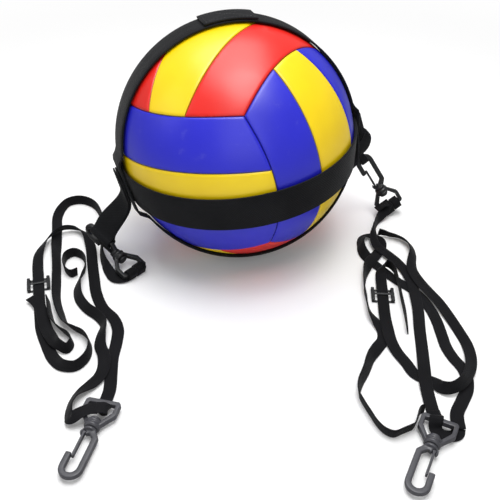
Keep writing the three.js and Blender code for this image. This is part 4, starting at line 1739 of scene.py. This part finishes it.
@dataclass
class SnapHook:
    """A swivel snap hook: its strap frame, its hook and its sprung gate."""

    name: str
    hook_body: str
    finish: Finish
    place: Vector
    axis: Vector
    barrel: tuple[float, ...] = (20.7 * MM, 24.2 * MM)
    frame_rounds: int = 10
    hook_rounds: int = 44
    gate_voxel: float = 0.2 * MM
    gate_rounds: int = 4

    def build(self) -> list[bpy.types.Object]:
        """Build and dress its three pieces.

        Returns:
            The frame, the hook and the gate.
        """
        axis = self.axis.normalized()
        beads = [Bead(self.place + axis * offset, axis) for offset in self.barrel]
        frame_name, hook_name, gate_name = (f"{self.name}_{part}" for part in ("frame", "hook", "gate"))
        return [
            Moulding(frame_name, MAIN_BODY, self.finish, rounds=self.frame_rounds, beads=beads).build(),
            Moulding(hook_name, self.hook_body, self.finish, rounds=self.hook_rounds).build(),
            Moulding(gate_name, gate_name, self.finish, self.gate_voxel, self.gate_rounds).build(),
        ]


@dataclass
class BarWrap:
    """Tape wound round the far bar of a snap hook's frame."""

    name: str
    place: Vector
    axis: Vector
    along: Vector
    shift: float
    width: float
    turns: float
    start: float = 0.0
    bar: tuple[float, float] = (3.6 * MM, 4.4 * MM)
    thickness: float = 1 * MM
    slack: float = 0.15 * MM
    layer_pitch: float = 1.12
    steps: int = 28
    waver: float = 0.35 * MM
    waver_rate: float = 3.1

    def build(self) -> bpy.types.Object:
        """Wind the tape and dress it.

        Returns:
            The turns of tape.
        """
        axis, along = self.axis.normalized(), self.along.normalized()
        rise = axis.cross(along)
        middle = self.place + axis * (self.bar[0] / 2)
        count = round(self.turns * self.steps)
        stations = []
        for i in range(count + 1):
            turn = self.start + 2 * math.pi * self.turns * i / count
            layer = self.slack + self.thickness * (0.5 + self.layer_pitch * self.turns * i / count)
            deep, high = (side / 2 + layer for side in self.bar)
            way = Vector((-math.cos(turn), math.sin(turn)))
            reach = ((abs(way.x) / deep) ** 4 + (abs(way.y) / high) ** 4) ** -0.25
            out = (axis * way.x + rise * way.y).normalized()
            lean = self.waver * math.sin(self.waver_rate * turn)
            centre = middle + out * reach + along * (self.shift + lean)
            stations.append(Station(centre, along, out, self.width))
        return laid_strip(self.name, Finish.TAPE, stations, self.thickness)


@dataclass
class Strap:
    """A short length of tape that is held still.

    Its route gives x, y and z in millimetres, and the bearing of its width in degrees or, for a
    strap on edge, its tilt.
    """

    name: str
    route: Sequence[tuple[float, float, float, float]]
    on_edge: bool = False
    width: float = 10 * MM
    thickness: float = 1 * MM
    steps: int = 7

    def build(self) -> bpy.types.Object:
        """Build and dress the strap.

        Returns:
            The strap.
        """
        line = smooth_line([Vector(spot[:3]) * MM for spot in self.route], self.steps)
        points = [point for point, _ in line]
        turns = [spot[3] for spot in self.route]
        stations = []
        for i, (point, spot) in enumerate(line):
            run = heading(points, i)
            turn = between(turns, spot)
            across = tilted(run, math.radians(turn)) if self.on_edge else level_way(turn)
            across = (across - run * across.dot(run)).normalized()
            stations.append(Station(point, across, across.cross(run), self.width))
        return laid_strip(self.name, Finish.TAPE, stations, self.thickness)


STRAPS = [
    Strap("left_end_strap", [
        (-95.9, -218, 1.95, 0), (-96, -223.5, 1.9, 0), (-95, -228.5, 3, 15), (-92.3, -232.5, 5.8, 55),
        (-90.9, -233.6, 8.8, 88), (-92.6, -233.7, 10.9, 90), (-99, -233.6, 11.1, 90),
    ]),
    Strap("right_end_strap", [
        (146.3, -229, 1.95, 0), (146.6, -234, 2.6, 0), (146.3, -236.9, 6, -5), (145.5, -240.3, 9, -10),
        (144.5, -243.3, 7.2, -10), (144.4, -245.8, 3.2, 10), (147, -249.2, 1.4, 50), (153, -251.2, 0.9, 85),
        (159, -249.6, 0.8, 125), (161.6, -244, 0.7, 170),
    ]),
    Strap("right_tail_end", [
        (128.1, -245.9, 5.1, 80), (130.2, -243.1, 5.1, 82), (132.2, -239.2, 5.1, 85),
        (133.9, -234.8, 5.1, 90), (136.2, -230.9, 5.1, 90), (139.6, -228.9, 5.1, 90),
    ], on_edge=True),
    Strap("right_back_start", [
        (149, -12, 4.8, 120), (145.8, -10.6, 5.2, 118), (142, -9.6, 5.8, 112), (138, -9.2, 6.3, 105),
    ], on_edge=True),
    Strap("right_clip_stub", [
        (151.5, 28.4, 14.9, 70), (148, 27.2, 14.2, 72), (144, 25.6, 12.2, 78), (140, 24.2, 10.4, 82),
    ]),
]


# The lead tapes


class End(enum.Enum):
    """What a lead's far end is in."""

    HOOK = "fitting"
    LEAD = "object"
    FREE = "bare"


@dataclass
class Lead:
    """One run of narrow tape: x, y, the height of what it lies on, and its tilt in degrees."""

    name: str
    route: Sequence[tuple[float, float, float, float]]
    end: End
    width: float = 10 * MM
    thickness: float = 1 * MM
    steps: int = 6

    def centres(self) -> tuple[list[Vector], list[float]]:
        """Work out the tape's middle line, finely stepped.

        Returns:
            Its points, and its tilt at each of them in degrees.
        """
        held = []
        for x, y, lift, tilt in self.route:
            turn = math.radians(tilt)
            height = lift * MM + self.width / 2 * math.sin(turn) + self.thickness / 2 * math.cos(turn)
            held.append(Vector((x * MM, y * MM, height)))
        line = smooth_line(held, self.steps)
        slants = [slant for _, _, _, slant in self.route]
        points = [point for point, _ in line]
        tilts = [between(slants, spot) for _, spot in line]
        return points, tilts

    def build(self) -> bpy.types.Object:
        """Build the tape and dress it.

        Returns:
            The tape.
        """
        points, tilts = self.centres()
        stations = []
        for i, (point, tilt) in enumerate(zip(points, tilts, strict=True)):
            run = heading(points, i)
            across = tilted(run, math.radians(tilt))
            stations.append(Station(point, across, across.cross(run), self.width))
        return laid_strip(f"{self.name}_tape", Finish.TAPE, stations, self.thickness, self.name)

    def declare(self, tape: bpy.types.Object, pieces: Sequence[bpy.types.Object]) -> None:
        """Args:
            tape: The tape, not used.
            pieces: What its end carries, not used.
        """
        points, _ = self.centres()
        length = sum((b - a).length for a, b in zip(points, points[1:], strict=False))
        log.info("%s is %.0f mm long", self.name, length / MM)


LEADS = [
    Lead("left_lead_main", [
        (-95, -70, 1.2, 0), (-102.5, -76.5, 1.2, 0), (-110, -76, 0.6, 8), (-117, -67, 0.2, 28),
        (-123, -56, 0.2, 60), (-128, -42, 0.2, 70), (-131, -21, 0.2, 70), (-134, 1, 0.2, 75),
        (-140, 23, 0.2, 80), (-149, 40, 0.2, 80), (-159, 48, 0.2, 80), (-168, 50, 0.2, 80),
        (-177, 46, 0.2, 80), (-182, 35, 0.2, 60), (-184, 22, 0.2, 25), (-181, 5, 0.2, 8),
        (-177, -15, 0.4, 5), (-172, -38, 0.3, 38), (-167, -59, 0.2, 45), (-162, -82, 0.2, 45),
        (-157, -105, 0.2, 50), (-150, -123, 0.2, 50), (-142, -138, 0.2, 60), (-133, -145, 0.2, 75),
        (-124, -151, 0.2, 80), (-117, -163, 0.2, 80), (-117, -177, 0.2, 75), (-124, -187, 0.2, 75),
        (-134, -186, 0.2, 55), (-144, -176, 0.2, 12), (-154, -158, 0.4, 0), (-162, -141, 0.2, 0),
        (-166.5, -126, 0.8, 0), (-171, -110, 1.5, 0), (-174.5, -97, 1.5, 0), (-178, -84, 1.5, 0),
        (-181.5, -71, 1.5, 0), (-185, -58, 1.6, 0), (-188, -41, 1, 15), (-186, -26, 1.2, 45),
        (-180, -12, 2.4, 60), (-172, -3, 2.2, 60), (-161, -1, 0.4, 60), (-150, -8, 0.2, 40),
        (-142, -26, 0.2, 10), (-136, -50, 0.2, 0), (-130, -74, 0.2, 0), (-124, -96, 0.2, 0),
        (-115, -115, 0.2, 0), (-104, -128, 0.2, 5), (-98, -142, 0.2, 5), (-97, -158, 0.2, 0),
        (-97.5, -174, 0.2, 0), (-96, -191, 0.2, 0), (-94.5, -208, 0.2, 0), (-96, -221, 0.4, 0),
    ], End.HOOK),
    Lead("left_lead_back", [
        (-97.3, -233.5, 9.4, 0), (-104, -233.5, 8.8, 0), (-110.5, -237.5, 8.8, 3),
        (-116.5, -239.5, 4.2, 25), (-119.5, -235, 0.4, 50), (-120.5, -226, 0.2, 55),
        (-118.5, -217, 0.2, 45), (-114, -209.5, 0.8, 20), (-108.5, -203, 1.8, 0),
        (-104, -195.5, 1.9, 0), (-102.5, -186, 1.9, 0), (-104.5, -173, 1.9, 0), (-109.5, -161, 0.6, 10),
        (-110.5, -149, 0.2, 35), (-110.5, -138, 0.2, 55), (-117, -128.5, 0.2, 55),
        (-128, -118.5, 0.2, 50), (-137.5, -104.5, 0.2, 40), (-141.5, -91, 0.2, 45),
        (-141.5, -79, 0.2, 65), (-139.5, -66, 0.2, 80), (-141.5, -53, 0.2, 85), (-147, -44.5, 0.2, 85),
        (-154.5, -41, 0.2, 85), (-160.5, -46, 0.2, 85), (-161, -56, 0.2, 85), (-157, -67, 0.2, 85),
        (-150.5, -73, 0.2, 85), (-145.5, -69.5, 0.2, 80),
    ], End.FREE),
    Lead("left_lead_fold", [
        (-164, -107, 0.2, 80), (-159, -122, 0.2, 75), (-153, -136, 0.2, 70), (-144, -146, 0.2, 70),
        (-136, -153, 0.2, 80), (-132, -161, 0.2, 80), (-135, -168, 0.2, 75), (-142, -165.5, 3, 60),
        (-150, -155, 3.5, 15), (-158, -141, 2.4, 0), (-163.5, -128, 2.9, 0), (-168.5, -117, 3, 0),
        (-174.5, -109, 3.1, 0), (-180, -104, 3.1, 0),
    ], End.LEAD),
    Lead("right_lead_long", [
        (151.3, 29.3, 12.8, 0), (149.3, 25, 7.3, 15), (145, 19.5, 3, 45), (140, 12.5, 0.6, 75),
        (136.5, 3.5, 0.9, 80), (134.5, -6, 2, 65), (132.5, -17.5, 2, 30), (134.5, -30, 3.2, 0),
        (141, -40, 3, 0), (148.5, -50, 1.8, 0), (154.5, -63, 0.8, 0), (157.5, -80, 1.6, 0),
        (157.5, -98, 1.7, 0), (156.5, -118, 1.4, 0), (153.5, -142, 0.2, 0), (151, -165, 0.2, 0),
        (148, -186.5, 2.1, 0), (146, -203, 2.2, 0), (146, -218, 0.6, 0), (146.5, -234, 0.4, 0),
    ], End.HOOK),
    Lead("right_lead_tail", [
        (161, -246, 1.2, 10), (163.5, -231, 0.2, 5), (170, -219.5, 0.2, 0), (176.5, -208, 0.2, 0),
        (179.5, -195.5, 0.2, 0), (178.5, -185.5, 0.2, 0), (174, -174.5, 0.2, 0), (171, -162, 0.2, 0),
        (170.5, -148, 0.2, 0), (170, -132.5, 0.2, 0), (167.5, -116, 0.2, 0), (162.5, -100.5, 0.2, 0),
        (156, -89.5, 0.2, 0), (147.5, -80.5, 0.2, 0), (140, -71, 0.2, 0), (132.5, -59.5, 0.2, 0),
        (125.5, -49.5, 0.2, 5), (119.5, -39, 0.2, 40), (118.5, -26.5, 0.2, 55), (122.5, -13.5, 0.2, 30),
        (131.5, -9.5, 0.2, 0), (139, -15.5, 0.2, 0), (138, -29, 0.3, 0), (130.5, -43, 1.6, 5),
        (122.5, -56.5, 1.8, 30), (116.5, -73.5, 0.4, 70), (113.5, -92, 0.2, 85), (113.5, -108, 0.2, 82),
        (113.5, -118, 0.2, 75), (115.5, -127, 0.2, 45), (119.5, -136, 0.2, 14), (122.3, -144.5, 0.2, 0),
        (121, -154, 0.2, 0), (114.5, -165, 0.2, 20), (107.5, -177, 0.2, 50), (102, -191, 0.2, 60),
        (95.5, -205, 0.2, 70), (93.5, -215, 0.2, 80), (96, -224.5, 0.2, 80), (99.5, -234, 0.2, 80),
        (103.5, -244, 0.2, 80), (108, -250, 0.2, 80), (113.5, -252.5, 0.2, 80),
        (120.5, -249.5, 0.2, 80), (128, -246, 0.2, 80),
    ], End.FREE),
    Lead("right_lead_back", [
        (149, -12, 0.2, 60), (156.5, -14.5, 0.2, 50), (164.5, -23.5, 0.2, 50), (166.5, -38, 0.2, 50),
        (163, -52, 0.6, 30), (161, -64.5, 2.5, 5), (164, -81.5, 3.5, 0), (169.5, -95.5, 3.2, 0),
        (175.5, -108.5, 2.5, 0), (180.5, -124, 1.5, 0), (185.5, -142.5, 0.2, 0), (188.5, -160, 0.3, 0),
        (187.5, -175.5, 0.6, 10), (182, -192, 1.8, 30), (173, -205.5, 3, 50), (163, -211.5, 2.6, 60),
        (157, -208.5, 0.4, 50), (153, -200.5, 0.2, 6), (147, -197, 0.2, 0), (140, -191.5, 0.2, 0),
        (135.5, -180, 0.2, 0), (130, -168, 0.8, 0), (127, -156.5, 2, 0), (126.5, -142.5, 2.2, 0),
        (126.5, -129, 2.05, 0), (128, -110, 1.5, 0), (129, -99, 1.5, 0), (130, -86, 1.5, 0),
        (131, -75, 1.9, 0), (132.5, -66, 2.6, 50), (138, -61, 2.6, 80), (143, -68, 2.6, 85),
        (144, -87, 2.6, 85), (144, -106, 0.4, 85), (143.5, -127, 0.2, 85), (142, -147, 0.2, 80),
    ], End.FREE),
]


# The studio


@dataclass(frozen=True)
class SoftLamp:
    """A square soft lamp: where it hangs, what it points at, its side and its power in watts."""

    name: str
    place: tuple[float, float, float]
    target: tuple[float, float, float]
    size: float
    power: float

    def build(self) -> None:
        """Hang the lamp."""
        data = bpy.data.lights.new(self.name, "AREA")
        data.size = self.size
        data.energy = self.power
        lamp = linked(self.name, data)
        lamp.location = self.place
        way = Vector(self.target) - Vector(self.place)
        lamp.rotation_euler = way.to_track_quat("-Z", "Y").to_euler()


LAMPS = [
    SoftLamp("overhead", (-0.05, 0.2, 1.2), (0.0, -0.04, 0.05), 0.95, 9.5),
    SoftLamp("front softbox", (0.14, -0.3, 1.1), (0.0, 0.0, 0.1), 0.55, 5.4),
    SoftLamp("front fill", (0.2, -1.5, 0.9), (0.0, 0.0, 0.08), 1.2, 4.0),
    SoftLamp("left fill", (-1.3, -0.3, 0.9), (0.0, 0.0, 0.08), 0.8, 1.6),
]


@dataclass
class Studio:
    """A pale floor, soft light and the camera at the photograph's view."""

    eye: tuple[float, float, float] = (12 * MM, -568 * MM, 405 * MM)
    pitch: float = math.radians(37)
    lens_share: float = 1.4
    sensor: float = 36.0
    nearest: float = 10 * MM
    floor_half: float = 12.0
    floor_level: float = -0.25 * MM
    haze: tuple[float, float] = (0.3, 0.9)
    floor_glow: float = 0.08
    sky_light: float = 0.28

    def build(self) -> None:
        """Build the stage."""
        self.build_floor()
        self.build_world()
        for lamp in LAMPS:
            lamp.build()
        lens = bpy.data.cameras.new("photo camera")
        lens.sensor_width = self.sensor
        lens.lens = self.lens_share * self.sensor
        lens.clip_start = self.nearest
        camera = linked("photo camera", lens)
        camera.location = self.eye
        camera.rotation_euler = (math.radians(90) - self.pitch, 0.0, 0.0)
        bpy.context.scene.camera = camera
        bpy.context.scene.view_settings.view_transform = "Standard"

    def build_floor(self) -> None:
        """Build the pale floor, white to the camera where no shadow falls."""
        paint = Paint("studio floor")
        white = (1, 1, 1, 1)
        rays = paint.node("ShaderNodeLightPath")
        matt = paint.node("ShaderNodeBsdfDiffuse", {}, {"Color": (0.94, 0.94, 0.94, 1.0)})
        dim = paint.node("ShaderNodeBsdfDiffuse", {}, {"Color": (0.3, 0.3, 0.3, 1.0)})
        away = paint.node("ShaderNodeVectorMath", {"operation": "LENGTH"}, {0: paint.place()})
        far = paint.value(away, "Value").ramp(*self.haze)
        glow = paint.node("ShaderNodeEmission", {}, {"Color": white, "Strength": self.floor_glow})
        haze = paint.node("ShaderNodeEmission", {}, {"Color": white, "Strength": 1.0})
        near = paint.node("ShaderNodeAddShader", {}, {0: matt, 1: glow})
        seen = paint.node("ShaderNodeMixShader", {}, {0: far, 1: near, 2: haze})
        glossy, camera = (paint.value(rays, f"Is {kind} Ray") for kind in ("Glossy", "Camera"))
        lit = paint.node("ShaderNodeMixShader", {}, {0: glossy, 1: matt, 2: dim})
        mixed = paint.node("ShaderNodeMixShader", {}, {0: camera, 1: lit, 2: seen})
        paint.node("ShaderNodeOutputMaterial", {}, {"Surface": mixed})
        mesh = bpy.data.meshes.new("studio_floor")
        signs = ((-1, -1), (1, -1), (1, 1), (-1, 1))
        corners = [(x * self.floor_half, y * self.floor_half, self.floor_level) for x, y in signs]
        mesh.from_pydata(corners, [], [(0, 1, 2, 3)])
        mesh.materials.append(paint.material)
        linked("studio_floor", mesh)

    def build_world(self) -> None:
        """Build an even pale sky, white where the camera sees it."""
        world = bpy.data.worlds.new("studio sky")
        world.use_nodes = True
        bpy.context.scene.world = world
        sky = Tree(world.node_tree)
        world.node_tree.nodes.clear()
        rays = sky.node("ShaderNodeLightPath")
        strength = self.sky_light + sky.value(rays, "Is Camera Ray") * (1 - self.sky_light)
        light = sky.node("ShaderNodeBackground", {}, {"Color": (1, 1, 1, 1), "Strength": strength})
        sky.node("ShaderNodeOutputWorld", {}, {"Surface": light})


# The whole trainer


def build_harness() -> None:
    """Build the ball, its bands and its tabs."""
    ball = Ball()
    ball.build()
    stitches, ring = StitchRows(), BandRing()
    harness = Harness(ball)
    harness.build(stitches, ring)
    left_spine = (UP - LEFT_CLIP_AXIS * UP.dot(LEFT_CLIP_AXIS)).normalized()
    spine_middle = LEFT_CLIP_AXIS * ((HOOK_SHOULDER + HOOK_BEND) / 2)
    left_eye = LEFT_CLIP_PLACE + spine_middle + left_spine * HOOK_SPINE_OFFSET
    left = Tab(
        name="left_tab",
        harness=harness,
        way=harness.left,
        rise=0.0,
        eye=left_eye,
        eye_across=-LEFT_CLIP_AXIS,
        eye_radius=3.6 * MM,
        eye_width=24 * MM,
    )
    left.build(stitches)
    right_eye = RIGHT_CLIP_PLACE + RIGHT_CLIP_AXIS * (HOOK_BEND + HOOK_BEND_RADIUS)
    right = Tab(
        name="right_tab",
        harness=harness,
        way=harness.right,
        rise=1.7 * MM,
        eye=right_eye,
        eye_across=right_across().normalized(),
        eye_radius=4.5 * MM,
        eye_width=7.4 * MM,
        twist=(0.12, 0.6),
        bunch=(0.6, 1.0),
        slack=7 * MM,
    )
    right.build(stitches)


def right_across() -> Vector:
    """The way across the right clip's frame."""
    return RIGHT_CLIP_LATERAL - RIGHT_CLIP_AXIS * RIGHT_CLIP_LATERAL.dot(RIGHT_CLIP_AXIS)


def build_leads() -> None:
    """Build the snap hooks, the sliders and the tapes that join them."""
    hooks: dict[str, list[bpy.types.Object]] = {}
    for name, body, finish, place, axis in [
        ("left_clip", MAIN_BODY, Finish.CLIP, LEFT_CLIP_PLACE, LEFT_CLIP_AXIS),
        ("right_clip", MAIN_BODY, Finish.CLIP, RIGHT_CLIP_PLACE, RIGHT_CLIP_AXIS),
        ("left_end", "left_end_hook", Finish.HOOK, LEFT_END_PLACE, LEFT_END_AXIS),
        ("right_end", "right_end_hook", Finish.HOOK, RIGHT_END_PLACE, RIGHT_END_AXIS),
    ]:
        hooks[name] = SnapHook(name, body, finish, place, axis).build()
    sliders: dict[str, bpy.types.Object] = {}
    for name in ("left_slider", "right_slider"):
        sliders[name] = Moulding(name, name, Finish.CLIP).build()
    carried = {
        "left_lead_main": hooks["left_end"],
        "right_lead_long": hooks["right_end"],
        "left_lead_fold": [sliders["left_slider"]],
        "right_lead_back": [sliders["right_slider"]],
    }
    for lead in LEADS:
        lead.declare(lead.build(), carried.get(lead.name, []))


def build_wraps() -> None:
    """Build the turns and the short lengths of tape that hold the leads in the hooks' frames."""
    frames = {
        "left": (LEFT_CLIP_PLACE, LEFT_CLIP_AXIS, UP.cross(LEFT_CLIP_AXIS)),
        "right": (RIGHT_CLIP_PLACE, RIGHT_CLIP_AXIS, right_across()),
    }
    for side, layer, shift, width, turns, start in [
        ("left", "near", -4.6 * MM, 9.6 * MM, 2.3, 0.0),
        ("left", "far", 4.9 * MM, 9.6 * MM, 1.8, math.pi),
        ("right", "near", -4.2 * MM, 10 * MM, 3.4, 0.0),
        ("right", "far", 5.2 * MM, 8.4 * MM, 2.7, math.pi),
    ]:
        BarWrap(f"{side}_clip_wrap_{layer}", *frames[side], shift, width, turns, start).build()
    for strap in STRAPS:
        strap.build()


def main() -> None:
    """Build the whole scene."""
    logging.basicConfig(level=logging.INFO, format="%(name)s: %(message)s", stream=sys.stdout)
    Studio().build()
    build_harness()
    build_leads()
    build_wraps()


if __name__ == "__main__":
    main()
